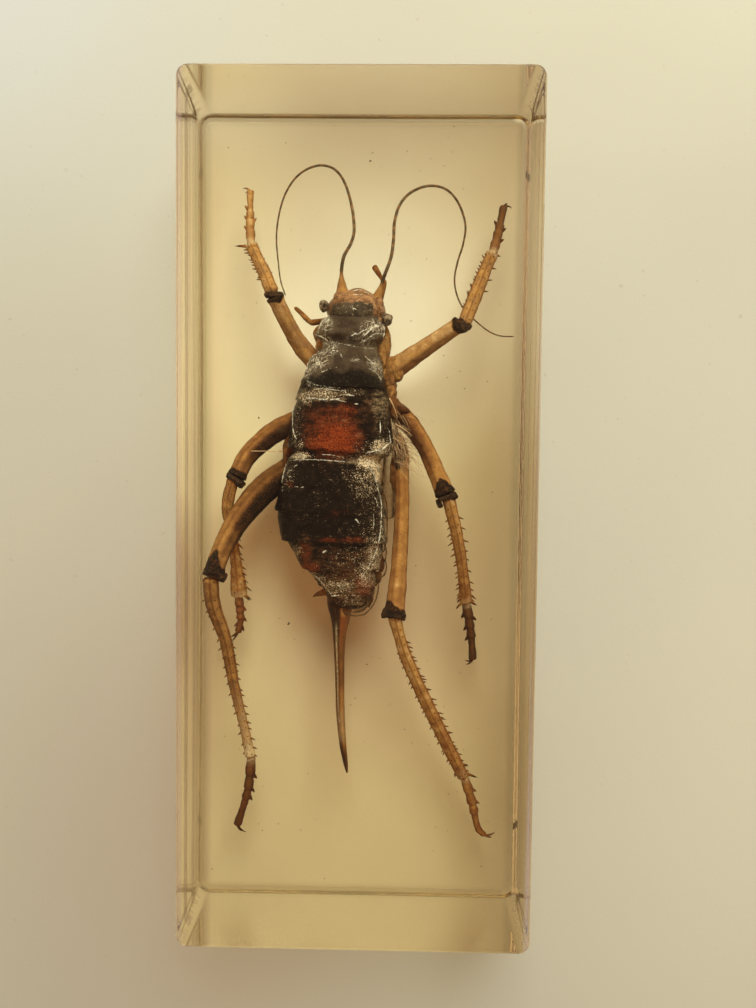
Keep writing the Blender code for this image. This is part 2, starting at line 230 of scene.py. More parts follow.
def tube(shape, run, sides, form=None, tips=(0.0, 0.0), flat=1.0, heading=None):
    # a grid bent round a run of (x, y, z, radius); form(along, angle) swells it, angle 90 degrees is up;
    # its rings stand square to the run, or all to one heading
    rings = len(run) - 1
    made = bmesh.ops.create_grid(shape, x_segments=sides, y_segments=rings, size=1.0)["verts"]
    edge = max(v.co.x for v in made)
    grid = {(round((v.co.y / edge + 1) / 2 * rings), round((v.co.x / edge + 1) / 2 * sides)): v for v in made}
    spots = [Vector(s[:3]) for s in run]
    reach = [0.0]
    for a, b in zip(spots, spots[1:]):
        reach.append(reach[-1] + (b - a).length)
    skin = []
    for i in range(rings + 1):
        ahead = heading or (spots[min(i + 1, rings)] - spots[max(i - 1, 0)]).normalized()
        side = ahead.cross(up).normalized()
        above = side.cross(ahead)
        shrink = 1.0
        for gap, tip in ((reach[i], tips[0]), (reach[-1] - reach[i], tips[1])):
            if gap < tip:
                shrink *= max(0.04, math.sqrt(1 - (1 - gap / tip) ** 2))
        for j in range(sides + 1):
            angle = 2 * math.pi * (j % sides) / sides
            swell = run[i][3] * shrink * (form(reach[i], angle) if form else 1.0)
            out = side * math.cos(angle) + above * math.sin(angle)
            vert = grid[i, j]
            vert.co = spots[i] + side * (math.cos(angle) * swell) + above * (math.sin(angle) * swell * flat)
            if j < sides:
                skin.append((vert, reach[i], angle, out))
    bmesh.ops.weld_verts(shape, targetmap={grid[i, sides]: grid[i, 0] for i in range(rings + 1)})
    for i in (0, rings):
        ring = [grid[i, j] for j in range(sides)]
        loop = [e for a, b in zip(ring, ring[1:] + ring[:1]) for e in a.link_edges if e.other_vert(a) is b]
        bmesh.ops.edgeloop_fill(shape, edges=loop)
    return skin


def ball(shape, centre, radii, segments=24, turn=None):
    verts = bmesh.ops.create_uvsphere(shape, u_segments=segments, v_segments=segments // 2, radius=1.0)["verts"]
    bmesh.ops.scale(shape, vec=radii, verts=verts)
    if turn is not None:
        bmesh.ops.rotate(shape, cent=(0, 0, 0), matrix=turn, verts=verts)
    bmesh.ops.translate(shape, vec=centre, verts=verts)
    return verts


def cuff(shape, centre, radii, turn, segments=28):
    # a rounded box
    verts = ball(shape, (0, 0, 0), (1, 1, 1), segments)
    for vert in verts:
        x, y, z = vert.co
        vert.co *= (abs(x) ** 4 + abs(y) ** 4 + abs(z) ** 4) ** -0.25
        vert.co = Vector((vert.co.x * radii[0], vert.co.y * radii[1], vert.co.z * radii[2]))
    bmesh.ops.rotate(shape, cent=(0, 0, 0), matrix=turn, verts=verts)
    bmesh.ops.translate(shape, vec=centre, verts=verts)
    return verts


def thorn(shape, base, tip, radius, bend=(0, 0, 0), rings=5, sides=6):
    # a pointed, slightly bent spine
    base, tip, bend = Vector(base), Vector(tip), Vector(bend)
    run = []
    for n in range(rings + 1):
        t = n / rings
        run.append((*(base.lerp(tip, t) + bend * (t * (1 - t))), radius * (1 - t) ** 0.7 + 0.012))
    return tube(shape, run, sides)


def ease(value, low, high):
    # 0 below low, 1 above high
    t = min(max((value - low) / (high - low), 0.0), 1.0)
    return t * t * (3 - 2 * t)


def strongest(zones, x, y):
    # the strongest of the soft patches (x, y, half width, half length, strength) at a spot
    best = 0.0
    for zx, zy, rx, ry, strength in zones:
        d = ((x - zx) / rx) ** 2 + ((y - zy) / ry) ** 2
        if d < 5:
            best = max(best, strength * math.exp(-0.75 * d ** 1.4))
    return best


# camera: the photograph looks straight down from about 12 cm
camera = bpy.data.cameras.new("camera")
camera.sensor_fit = "VERTICAL"
camera.sensor_height = 36.0
camera.lens = 36.0 * 780 / 1008
camera.clip_start = 0.002
eye = bpy.data.objects.new("camera", camera)
bpy.context.scene.collection.objects.link(eye)
eye.location = (4.36 * mm, 6.05 * mm, 117.1 * mm)
eye.rotation_euler = (math.radians(-2.525), math.radians(1.030), math.radians(0.655))
bpy.context.scene.camera = eye
bpy.context.scene.view_settings.view_transform = "Standard"

lights = {
    "key": {"place": (0.05, 0.22, 0.28), "size": 0.20, "power": 1.41, "colour": (0.945, 1.025, 1.06),
            "glossy": False},
    "fill": {"place": (-0.35, 0.10, 0.25), "size": 0.18, "power": 0.15, "colour": (1.0, 0.97, 0.92), "glossy": False},
}
# room light: strength overhead and at the horizon
room = {"above": 0.15, "horizon": 0.86, "colour": (1.0, 0.765, 0.56)}


def makeLights():
    for name, s in lights.items():
        light = bpy.data.lights.new(name, "AREA")
        light.shape = "DISK"
        light.size = s["size"]
        light.energy = s["power"]
        light.color = s["colour"]
        item = bpy.data.objects.new(name, light)
        bpy.context.scene.collection.objects.link(item)
        item.location = s["place"]
        item.rotation_euler = (-Vector(s["place"])).to_track_quat("-Z", "Y").to_euler()
        item.visible_glossy = s["glossy"]
        item.visible_transmission = False
    world = bpy.data.worlds.new("room")
    bpy.context.scene.world = world
    paint = Paint("room", world)
    heading = paint.node("ShaderNodeTexCoord", {}, {}, "Generated")
    height = paint.node("ShaderNodeSeparateXYZ", {}, {"Vector": heading}, "Z")
    strength = paint.step(height, 0.15, 0.92) * (room["above"] - room["horizon"]) + room["horizon"]
    paint.finish(paint.node("ShaderNodeBackground", {}, {"Color": room["colour"], "Strength": strength}))


# a sheet of paper, just clear of the bar's foot; mm
paper = {"half": 2500.0, "drop": 0.12}


def makeFloor():
    paint = Paint("pale_paper")
    tone = paint.grain(60, detail=2)
    colour = paint.blend(paint.step(tone, 0.3, 0.7), (0.572, 0.524, 0.374), (0.546, 0.496, 0.352))
    specks = paint.step(paint.grain(1.1, detail=1), 0.735, 0.80)
    colour = paint.blend(specks * 0.5, colour, (0.45, 0.36, 0.24))
    # painted light and shadow: paler off the bar's right, darker and browner beside its left where the bar's shadow
    # falls, cooler at the far left corner
    colour = paint.blend(paint.pool(62, -52, 62, 100) * 0.9, colour, (0.685, 0.615, 0.440))
    colour = paint.blend(paint.pool(-24, -50, 60, 85) * 1.0, colour, (0.500, 0.402, 0.278))
    colour = paint.blend(paint.pool(-62, 88, 60, 70), colour, (0.588, 0.575, 0.490))
    # painted light: the paper is brightest where the bar gathers the light; painted shade, darker and redder, under
    # the insect's rear half and under the bar's left wall
    across, along = (paint.maths("ABSOLUTE", paint.axis(name)) for name in "XY")
    under = paint.step(across, 22.3, 20.5) * paint.step(along, 54.5, 52.5)
    lit = paint.blend(paint.pool(2, -16, 26, 30), (0.900, 0.81, 0.605), (0.820, 0.680, 0.557))
    lit = paint.blend(paint.pool(2, 31, 32, 32), lit, (1.0, 1.0, 1.0))
    lit = paint.blend(paint.pool(-22.5, 0, 5, 80), lit, (0.82, 0.68, 0.54))
    colour = paint.blend(under * 0.9, colour, lit)
    # far off, where the lamp does not reach, the paper glows a little so that it stays pale
    far = paint.step(paint.pool(0, 0, 700, 700), 0.68, 0.10)
    surface = paint.surface(colour, 0.6, paint.grain(0.35, detail=3), 0.02, {
        "Specular IOR Level": 0.2, "Emission Strength": 1.0,
        "Emission Color": paint.blend(far, (0, 0, 0), (0.50, 0.42, 0.34))})
    shape = bmesh.new()
    bmesh.ops.create_grid(shape, x_segments=2, y_segments=2, size=paper["half"])
    bmesh.ops.translate(shape, vec=(0, 0, -paper["drop"]), verts=shape.verts)
    floor = makePiece("floor", shape, paint.finish(surface), None)


makeLights()
makeFloor()

# the cast bar: a little smaller at its base, with rounded edges; draft is how much, across and along
bar = {"length": 110.0, "width": 45.0, "height": 21.0, "rim": 0.45, "foot": 0.75, "upright": 1.5,
       "draft": (0.15, 1.0), "inset": 0.15}


def resinPaint():
    paint = Paint("clear_resin")
    haze = paint.grain(9, detail=3)
    scuffs = paint.grain(0.5, detail=4, stretch=(1, 7, 1))
    glass = paint.node("ShaderNodeBsdfPrincipled", {}, {
        "Base Color": (1.0, 1.0, 1.0), "Roughness": paint.step(haze, 0.35, 0.85) * 0.03 + 0.008,
        "IOR": 1.55, "Transmission Weight": 1.0, "Normal": paint.bump(scuffs, 0.002)})
    # light gathers in pools below the bar
    bright, dim = paint.clear((1.0, 1.0, 0.985)), paint.clear((0.42, 0.36, 0.30))
    pools = (paint.pool(1, 28, 24, 28) * 0.44 + paint.pool(-16, 24, 12, 44) * 0.26
             - paint.pool(25, -34, 15, 58) * 0.66 - paint.pool(18, 8, 11, 30) * 0.36
             - paint.pool(27, 34, 15, 46) * 0.40 - paint.pool(6, 66, 55, 26) * 0.82 + (haze - 0.5) * 0.2 + 0.80)
    clear = paint.mix(paint.maths("MAXIMUM", paint.maths("MINIMUM", pools, 1.0), 0.0), dim, bright)
    # the long walls are not polished: dull streaks run along them; the foot carries a dull dark brown band, painted
    # shade along the bar's foot, stronger on the left
    across, height = paint.axis("X"), paint.axis("Z")
    streaks = paint.grain(1.8, detail=3, rough=0.5, stretch=(1, 34, 1))
    walls = paint.step(across, 21.4, 22.0) * 1.7 + paint.step(across, -21.4, -22.0) * 1.2
    foot = paint.step(height, 1.0, 0.5) * paint.step(height, 0.0, 0.05) * (paint.step(across, 20, 21) * -0.46 + 0.66)
    # one broad dull band halfway up the left wall, painted shade on that side
    band = paint.step(paint.maths("ABSOLUTE", height - 12.6), 2.2, 0.4) * paint.step(across, -21.4, -22.0) * 0.46
    edge = paint.step(height, 20.5, 20.9) * paint.step(across, -21.55, -21.8)
    # painted shade and light: the dull colour is dark brown on the shaded left wall and pale mauve on the lit right
    # wall
    dull = paint.blend(paint.step(across, -1, 1), (0.43, 0.29, 0.24), (0.66, 0.56, 0.60))
    matt = paint.node("ShaderNodeBsdfDiffuse", {}, {"Color": dull})
    shadedFoot = paint.node("ShaderNodeBsdfDiffuse", {}, {"Color": (0.46, 0.385, 0.26)})
    wearAndShade = paint.maths("MAXIMUM", walls * paint.step(streaks, 0.40, 0.75) * 0.24, band)
    glass = paint.mix(paint.maths("MAXIMUM", wearAndShade, edge * 0.30), glass, matt)
    surface = paint.onlyShadow(paint.mix(foot, glass, shadedFoot), clear)
    volume = paint.node("ShaderNodeVolumeAbsorption", {}, {"Color": (0.955, 0.75, 0.10), "Density": 15.0})
    paint.tree.links.new(volume.socket, paint.output.inputs["Volume"])
    return paint.finish(surface)


def makeBlock():
    s = bar
    shape = bmesh.new()
    bmesh.ops.create_cube(shape, size=1.0)
    bmesh.ops.scale(shape, vec=(s["width"], s["length"], s["height"]), verts=shape.verts)
    bmesh.ops.translate(shape, vec=(0, 0, s["height"] / 2), verts=shape.verts)
    for vert in shape.verts:
        if vert.co.z < 1:
            vert.co.x -= math.copysign(s["draft"][0], vert.co.x)
            vert.co.y -= math.copysign(s["draft"][1], vert.co.y)
    upright = [e for e in shape.edges if abs(e.verts[0].co.z - e.verts[1].co.z) > 1]
    bmesh.ops.bevel(shape, geom=upright, offset=s["upright"], segments=8, profile=0.5,
                    affect="EDGES", material=-1)
    for level, radius in ((s["height"], s["rim"]), (0.0, s["foot"])):
        rims = [e for e in shape.edges if all(abs(v.co.z - level) < 0.001 for v in e.verts)]
        bmesh.ops.bevel(shape, geom=rims, offset=radius, segments=7, profile=0.5, affect="EDGES", material=-1)
    big = [f for f in shape.faces if f.calc_area() > 100]
    bmesh.ops.inset_individual(shape, faces=big, thickness=s["inset"], use_even_offset=True)
    block = makePiece("resin_block", shape, resinPaint(), None)
    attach(block, "root")
    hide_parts("resin_lower_half", "resin_upper_half")


makeBlock()


# trunk: black plates with lifted rear edges, one red plate, silvery film where the resin let go
trunk = {
    "outline": [  # y, middle x, half width
        (25.2, -1.1, 2.4), (23.5, -1.3, 3.2), (21.4, -1.3, 3.5), (19.0, -1.9, 4.7), (17.3, -2.2, 5.5),
        (15.1, -2.2, 6.2), (13.0, -2.35, 6.6), (9.8, -2.35, 6.75), (7.4, -3.0, 6.45), (4.6, -3.7, 6.55),
        (2.0, -3.75, 6.9), (0.4, -3.7, 7.15), (-1.6, -3.5, 6.95), (-3.4, -3.15, 6.5), (-5.2, -2.65, 5.75),
        (-7.0, -2.25, 5.0), (-8.4, -1.65, 4.1), (-10.0, -1.15, 3.3), (-11.3, -1.05, 2.75), (-12.6, -0.9, 1.75)],
    "axis": 10.1, "flat": 0.78, "boxy": 2.25, "rings": 190, "sides": 170,
    # front y, rear y, how far the rear edge stands up
    "plates": [(16.9, 14.7, 0.14), (14.7, 8.3, 0.24), (6.9, 3.6, 0.24), (3.6, 0.1, 0.26), (0.1, -3.6, 0.40),
               (-3.6, -7.3, 0.28), (-7.3, -9.4, 0.24), (-9.4, -10.9, 0.20), (-10.9, -12.6, 0.1)],
    "fold": (8.3, 6.9, 0.42),
    # soft patches seen from above: x, y, half width, half length, strength
    "film": [
        (-5.0, 15.6, 2.9, 0.85, 0.95), (-6.9, 15.2, 1.3, 0.9, 1.0), (-1.6, 15.8, 2.4, 0.5, 0.72),
        (1.2, 15.4, 1.8, 1.0, 0.05), (-8.2, 15.2, 1.0, 1.0, 0.75), (-8.3, 12.2, 1.0, 3.8, 0.55),
        (-7.6, 9.0, 0.9, 0.7, 0.9), (2.9, 10.5, 1.2, 2.0, 0.36), (0.8, 9.0, 1.6, 1.3, 0.48),
        (2.9, 8.9, 1.5, 1.2, 1.35), (3.8, 12.0, 0.6, 2.6, 0.45), (-7.8, 7.7, 1.5, 0.6, 1.4),
        (-2.6, 7.75, 1.8, 0.4, 0.7), (1.7, 7.0, 1.9, 1.0, 1.7), (2.7, 5.9, 1.1, 1.8, 1.7),
        (-8.9, 5.2, 1.0, 2.0, 0.50), (-9.2, 3.8, 0.7, 1.0, 0.5), (-0.9, 5.4, 1.9, 1.4, 0.50),
        (0.9, 4.5, 2.2, 2.4, 0.80), (-1.2, 4.6, 2.2, 1.4, 0.30), (1.5, 1.4, 1.9, 2.4, 0.43),
        (-4.6, 1.0, 3.0, 3.5, 0.10),
        (2.7, 2.2, 0.6, 4.2, 0.70), (1.5, -1.5, 1.9, 2.4, 0.48), (3.0, -1.5, 0.6, 3.6, 0.85),
        (-2.4, -1.6, 3.0, 1.6, 0.10),
        (-5.0, 2.8, 1.6, 1.1, 0.20), (-8.0, 0.8, 2.2, 1.4, 0.10), (-7.9, -4.7, 0.8, 1.2, 1.0),
        (-0.8, -5.4, 3.4, 1.8, 0.55), (2.2, -4.8, 1.2, 2.8, 1.10), (-3.8, -7.4, 3.0, 1.0, 0.40),
        (-5.4, -8.3, 1.9, 0.9, 0.95), (-3.6, -9.6, 1.8, 1.2, 0.95), (1.0, -7.6, 1.5, 2.4, 0.95),
        (-1.6, -8.2, 2.0, 1.4, 0.15),
        (-0.8, -11.0, 2.6, 1.8, 0.55), (-1.8, -9.2, 1.8, 1.0, 1.05)],
    "red": [(-3.6, 11.0, 3.9, 3.5, 0.50), (-2.7, 9.9, 2.8, 2.3, 0.98), (-4.6, 9.2, 2.2, 1.2, 0.75),
            (-1.9, 13.2, 1.9, 1.5, 0.55), (-1.9, 9.4, 1.7, 1.9, 0.95), (-0.4, -3.0, 1.8, 0.42, 0.50),
            (-2.4, 0.5, 1.7, 0.6, 0.26), (-8.9, 4.0, 0.7, 0.4, 0.5), (-3.6, -3.1, 1.8, 0.4, 0.48),
            (-6.9, -4.9, 0.9, 1.3, 0.66), (-6.2, -6.9, 1.7, 0.8, 0.72), (-1.4, -5.2, 2.4, 0.8, 0.22),
            (0.9, -9.2, 1.4, 1.3, 0.80)],
    "warm": [(-3.0, -5.6, 5.5, 2.2, 0.70), (-1.0, -9.2, 4.5, 3.4, 1.3), (-3.0, 12.0, 6.4, 4.4, 0.62),
             (1.6, 13.8, 1.8, 2.0, 0.8), (0.4, -2.6, 2.8, 1.0, 0.6), (2.0, -6.8, 2.2, 3.2, 1.3),
             (1.2, 7.3, 2.6, 1.3, 0.9), (-6.5, -4.6, 0.9, 1.9, 1.5), (-5.9, -6.5, 1.5, 0.9, 1.5),
             (-1.4, 3.4, 3.6, 1.0, 0.4)],
    "haze": [(2.9, 14.2, 1.25, 1.6, 0.85), (-1.8, -9.4, 2.2, 1.0, 0.75), (0.7, -10.0, 1.6, 1.5, 0.45),
             (0.6, 7.2, 3.0, 0.9, 0.65),
             (2.5, 6.2, 1.4, 1.8, 0.9), (-0.2, 16.0, 4.0, 0.5, 0.35), (-5.0, 15.4, 3.9, 1.0, 0.7),
             (2.2, -7.4, 1.7, 2.8, 0.85), (-0.4, -11.2, 2.2, 1.3, 0.5)],
}


def filmOver(paint, base, film, grit, shreds, lean=-0.45):
    # flecks of film where the resin has come away: short dashes, few bright, most dull
    flakes = paint.grain(0.125, detail=2, rough=0.7, stretch=(2.0, 1, 1), turn=(0, 0, lean))
    amount = flakes + shreds * 0.30 + film * 0.235
    shine = flakes * 0.5 + grit * 0.8 + (shreds - 0.5) * 0.4
    dull = paint.blend(paint.step(shine, 0.50, 0.68), (0.050, 0.025, 0.011), (0.19, 0.110, 0.050))
    base = paint.blend(paint.step(amount, 0.78, 0.90) * 0.55, base, dull)
    cover = paint.step(amount, 0.895, 0.945)
    pale = paint.blend(paint.step(shine, 0.54, 0.72), (0.36, 0.225, 0.105), (1.0, 0.79, 0.50))
    return paint.blend(cover, base, pale), cover


def insectPaint(name, black, seam, brown):
    # shell seen through resin: little shine, speckled film where it has come loose
    paint = Paint(name)
    film, red, warm, haze = (paint.mark(mask) for mask in ("film", "red", "warm", "haze"))
    mottling, grit = paint.grain(0.9, detail=4, rough=0.6), paint.grain(0.17, detail=2, rough=0.6)
    fibres = paint.grain(0.5, detail=3, stretch=(3.2, 0.7, 1))
    base = paint.blend(paint.step(mottling, 0.4, 0.7), black, seam)
    rust = paint.blend(paint.step(grit + (fibres - 0.5) * 0.8, 0.36, 0.66), brown, tuple(c * 3.0 for c in brown))
    base = paint.blend(paint.step(warm + (mottling - 0.5) * 1.2 + (fibres - 0.5) * 0.8, 0.40, 1.25), base, rust)
    blood = paint.blend(paint.step(grit * 0.8 + fibres * 0.3, 0.40, 0.70), (0.105, 0.014, 0.0038),
                        (0.345, 0.058, 0.010))
    base = paint.blend(paint.step(red + (mottling - 0.5) * 0.9 + (grit - 0.5) * 0.8, 0.12, 1.05), base, blood)
    cloud = paint.blend(paint.step(grit + (fibres - 0.5) * 0.6, 0.35, 0.68), (0.085, 0.050, 0.024),
                        (0.34, 0.235, 0.122))
    base = paint.blend(paint.step(haze + (mottling - 0.5) * 1.2 + (fibres - 0.5) * 1.6, 0.2, 1.0) * 0.75, base, cloud)
    base, cover = filmOver(paint, base, film, grit, paint.grain(0.75, detail=2, rough=0.7))
    return paint.shell(base, cover * 0.15 + 0.36 + (mottling - 0.5) * 0.3,
                       mottling + grit * 0.4 + fibres * 0.8 + cover * 0.3, 0.13, 0.16)


def plateLevel(x, y):
    # the plate edges run a little lower on the right
    return y + (x + 3.2) * 0.08 * ease(y, -6, 3)


def makeTrunk():
    s = trunk
    shape, film, red, warm, haze = newShape("film", "red", "warm", "haze")
    run = eased([(x, y, s["axis"], half) for y, x, half in s["outline"]], s["rings"])

    def section(along, angle):
        under = math.degrees(angle) - 360 if angle > math.pi else math.degrees(angle)
        below = ease(-under, 20, 27) * ease(under + 180, 20, 27)
        return squared(angle, s["boxy"]) * (1 - 0.055 * below) * (1.0 - 0.02 * below * math.cos(angle * 5))

    for vert, along, angle, out in tube(shape, run, s["sides"], section, (1.0, 0.8), s["flat"], Vector((0, -1, 0))):
        x, y, z = vert.co
        level = plateLevel(x, y)
        lift = 0.0
        for front, rear, rise in s["plates"]:
            if rear <= level < front:
                t = (front - level) / (front - rear)
                lift = rise * (t ** 2.5 - 0.35 * (1 - t) ** 6)
        front, rear, depth = s["fold"]
        if rear < level < front:
            lift = -depth * math.sin(math.pi * (front - level) / (front - rear)) ** 0.5
        upper = ease(out.z, -0.5, -0.1)
        lift *= 0.5 + 0.5 * upper + 0.5 * ease(abs(out.x), 0.75, 1.0)
        here = Vector((x, y, z))
        wrinkle = noise.noise(here * Vector((0.5, 1.6, 0.5))) * 0.10 + noise.noise(here * 0.35) * 0.16
        if y < -3.6:
            wrinkle += noise.noise(here * Vector((1.2, 2.6, 1.0))) * 0.09
        dent = -0.35 * math.exp(-((x - 1.6) / 1.4) ** 2 - ((y - 13.6) / 1.6) ** 2) * upper
        vert.co += out * (lift + wrinkle + dent)
        vert[film] = strongest(s["film"], x, y) * upper + 0.22 * (1 - upper)
        vert[red] = strongest(s["red"], x, y) * upper
        vert[warm] = max(strongest(s["warm"], x, y) * upper, 1 - upper)
        vert[haze] = strongest(s["haze"], x, y) * upper
    paint = insectPaint("dark_plates", (0.0070, 0.0036, 0.0020), (0.0155, 0.0080, 0.0042), (0.045, 0.0175, 0.0070))
    return makePiece("trunk", shape, paint)


trunkPiece = makeTrunk()


# neck shield: a translucent grey saddle with folds, black and glossy along its rear
shield = {
    "outline": [  # y, middle x, z, half width
        (26.3, -0.8, 10.2, 3.3), (25.4, -0.95, 10.5, 4.1), (24.3, -1.2, 10.6, 4.45), (23.4, -1.4, 10.6, 4.6),
        (22.5, -1.35, 10.6, 4.1), (21.5, -1.4, 10.6, 3.9), (20.6, -1.8, 10.6, 4.55), (19.4, -2.0, 10.55, 4.95),
        (18.2, -2.0, 10.5, 5.2), (17.2, -2.0, 10.4, 5.35), (16.3, -2.05, 10.3, 5.4)],
    "flat": 0.86, "boxy": 2.3, "rings": 110, "sides": 130,
    "film": [(-4.7, 24.9, 0.9, 1.1, 1.0), (-5.2, 23.0, 0.7, 0.8, 0.6), (1.8, 24.3, 1.2, 0.9, 1.1),
             (0.6, 22.9, 1.3, 0.7, 0.5), (-5.9, 19.6, 1.4, 0.8, 0.66), (-6.8, 18.6, 0.6, 1.3, 0.7),
             (-4.0, 21.2, 1.4, 1.0, 0.45), (2.2, 19.4, 1.1, 0.9, 0.5), (2.9, 18.4, 0.6, 1.3, 0.62),
             (-4.7, 17.3, 2.4, 0.8, 0.22), (-0.6, 19.9, 0.8, 0.4, 0.5), (-1.2, 22.9, 1.0, 0.5, 0.45),
             (-3.5, 21.3, 0.5, 0.5, 0.6), (-6.6, 16.7, 1.2, 0.6, 0.7), (-5.0, 22.4, 0.8, 0.8, 0.9)],
    "haze": [(-4.8, 23.9, 1.8, 1.8, 0.95), (1.5, 23.6, 2.1, 1.8, 0.85), (-5.6, 19.6, 2.2, 1.6, 0.95),
             (1.8, 21.7, 1.9, 1.2, 0.9), (-4.2, 21.9, 1.8, 1.2, 0.9), (2.3, 19.6, 1.6, 1.3, 0.8),
             (-1.6, 21.6, 2.0, 1.0, 0.5), (-5.0, 22.4, 0.9, 0.9, 1.0)],
    # creases: from, to, width, depth
    "creases": [((-5.4, 22.6), (3.0, 21.8), 0.8, 0.38), ((0.2, 23.4), (3.4, 25.3), 0.28, 0.14),
                ((0.4, 22.6), (3.2, 23.8), 0.25, 0.12), ((-6.2, 24.4), (-3.6, 22.4), 0.3, 0.16),
                ((-7.0, 19.2), (-3.6, 20.4), 0.35, 0.14), ((0.6, 20.0), (3.6, 18.0), 0.3, 0.14),
                ((-4.0, 18.6), (0.8, 18.4), 0.3, 0.1), ((-3.4, 24.6), (-3.0, 22.6), 0.3, 0.08)],
}


def shieldPaint():
    paint = Paint("neck_shield")
    film, dark, haze, warm = (paint.mark(mask) for mask in ("film", "dark", "haze", "warm"))
    mottling, grit = paint.grain(1.2, detail=4, rough=0.55), paint.grain(0.20, detail=2, rough=0.65)
    base = paint.blend(paint.step(mottling + (grit - 0.5) * 0.5, 0.36, 0.68), (0.048, 0.029, 0.0165),
                       (0.088, 0.057, 0.033))
    tan = paint.blend(paint.step(mottling + (grit - 0.5) * 0.6, 0.38, 0.64), (0.16, 0.068, 0.026),
                      (0.40, 0.205, 0.085))
    base = paint.blend(paint.step(warm + (mottling - 0.5) * 0.6, 0.3, 0.7), base, tan)
    base = paint.blend(paint.step(haze + (mottling - 0.5) * 0.9, 0.15, 0.95) * 0.5, base, (0.135, 0.090, 0.047))
    black = paint.blend(paint.step(grit, 0.5, 0.72), (0.0075, 0.0052, 0.0032), (0.030, 0.021, 0.011))
    base = paint.blend(paint.step(dark + (mottling - 0.5) * 0.7 + (grit - 0.5) * 0.3, 0.22, 0.95), base, black)
    # crinkled threads of film, thickest where it has come loose
    loose = paint.step(haze * 0.45 + film * 0.9, 0.20, 0.90)
    lines = paint.maths("MAXIMUM", paint.crinkle(1.5, 0.016, (1.6, 1, 1), (0, 0, 0.5)),
                        paint.crinkle(0.9, 0.022, (1, 1.5, 1), (0, 0, -0.4)) * 0.7)
    lines = paint.maths("MAXIMUM", lines, paint.crinkle(0.5, 0.026, (2.4, 1, 1), (0, 0, 0.7)) * 0.7)
    base = filmOver(paint, base, film * 0.5, grit, paint.grain(0.8, detail=2, rough=0.7))[0]
    threads = lines * loose * paint.step(grit + loose * 0.25, 0.40, 0.58)
    base = paint.blend(threads, base, (1.0, 0.86, 0.62))
    return paint.shell(base, (mottling - 0.5) * 0.3 + 0.36, mottling + grit * 0.35 + threads * 0.5, 0.14, 0.2)


def lineGap(x, y, start, end):
    # distance from a spot to a straight line seen from above
    ax, ay = end[0] - start[0], end[1] - start[1]
    t = min(max(((x - start[0]) * ax + (y - start[1]) * ay) / (ax * ax + ay * ay), 0), 1)
    return math.hypot(x - start[0] - ax * t, y - start[1] - ay * t)


def makeShield():
    s = shield
    shape, film, dark, haze, warm = newShape("film", "dark", "haze", "warm")
    run = eased([(x, y, z, half) for y, x, z, half in s["outline"]], s["rings"])

    def section(along, angle):
        return squared(angle, s["boxy"])

    for vert, along, angle, out in tube(shape, run, s["sides"], section, (0.7, 0.25), s["flat"], Vector((0, -1, 0))):
        x, y, z = vert.co
        upper = ease(out.z, -0.5, 0.0)
        sink = 0.0
        for start, end, width, depth in s["creases"]:
            sink -= depth * math.exp(-(lineGap(x, y, start, end) / width) ** 2)
        here = Vector((x, y, z))
        sink += noise.noise(here * 0.5) * 0.16 + noise.noise(here * Vector((1.0, 2.0, 1.0))) * 0.07
        vert.co += out * sink * (0.3 + 0.7 * upper)
        vert[film] = strongest(s["film"], x, y) * upper + 0.15 * (1 - upper)
        vert[haze] = strongest(s["haze"], x, y) * upper
        vert[warm] = 0.9 * ease(y, 25.6, 26.3) + 0.8 * (1 - upper) * ease(y, 17, 19) + 0.8 * ease(x, 1.9,
                2.7) * ease(y, 24.6, 25.6)
        edge = 18.4 - 0.08 * (x + 2) - 0.9 * ease(-x, 3.6,
                                                  6.0) + 0.9 * noise.noise((x * 0.45, 1.7,
                                                          0.3)) + 0.3 * noise.noise((x * 1.6, y, 0))
        vert[dark] = ease(edge - y, -1.3, 0.8) * 1.15 + 0.32 * strongest([(-1.2, 24.7, 2.0, 1.4, 1.0)], x, y) * upper
    return makePiece("neck_shield", shape, shieldPaint())


head = {
    "skull": ((-0.6, 26.6, 9.9), (3.85, 2.75, 4.4)),
    "eyes": [((-4.75, 27.2, 11.2), (0.62, 0.80, 0.9)), ((3.55, 25.5, 11.2), (0.66, 0.78, 0.9))],
    "sockets": [((-2.4, 28.3, 11.3), 1.15), ((1.9, 27.6, 11.3), 1.15)],
}


def headPaint():
    paint = Paint("head_shell")
    rust, mottling, grit = paint.mark("warm"), paint.grain(0.9, detail=4), paint.grain(0.2, detail=2, rough=0.6)
    grey = paint.blend(paint.step(mottling + (grit - 0.5) * 0.4, 0.38, 0.66), (0.052, 0.035, 0.020),
                       (0.105, 0.074, 0.043))
    tan = paint.blend(paint.step(mottling + (grit - 0.5) * 0.8, 0.36, 0.64), (0.19, 0.082, 0.032),
                      (0.42, 0.215, 0.092))
    base = paint.blend(paint.step(rust + (mottling - 0.5) * 0.7, 0.2, 0.8), grey, tan)
    folds = paint.crinkle(1.4, 0.02, (3.0, 0.8, 1))
    base = paint.blend(folds * paint.step(rust, 0.4, 0.9) * 0.7, base, (0.075, 0.024, 0.010))
    flecks = paint.step(paint.grain(0.26, detail=2, rough=0.7), 0.60, 0.70) * 0.65
    return paint.shell(paint.blend(flecks, base, (0.62, 0.46, 0.26)), (mottling - 0.5) * 0.3 + 0.38,
                       mottling + grit * 0.3 + folds * 0.5, 0.09, 0.2)


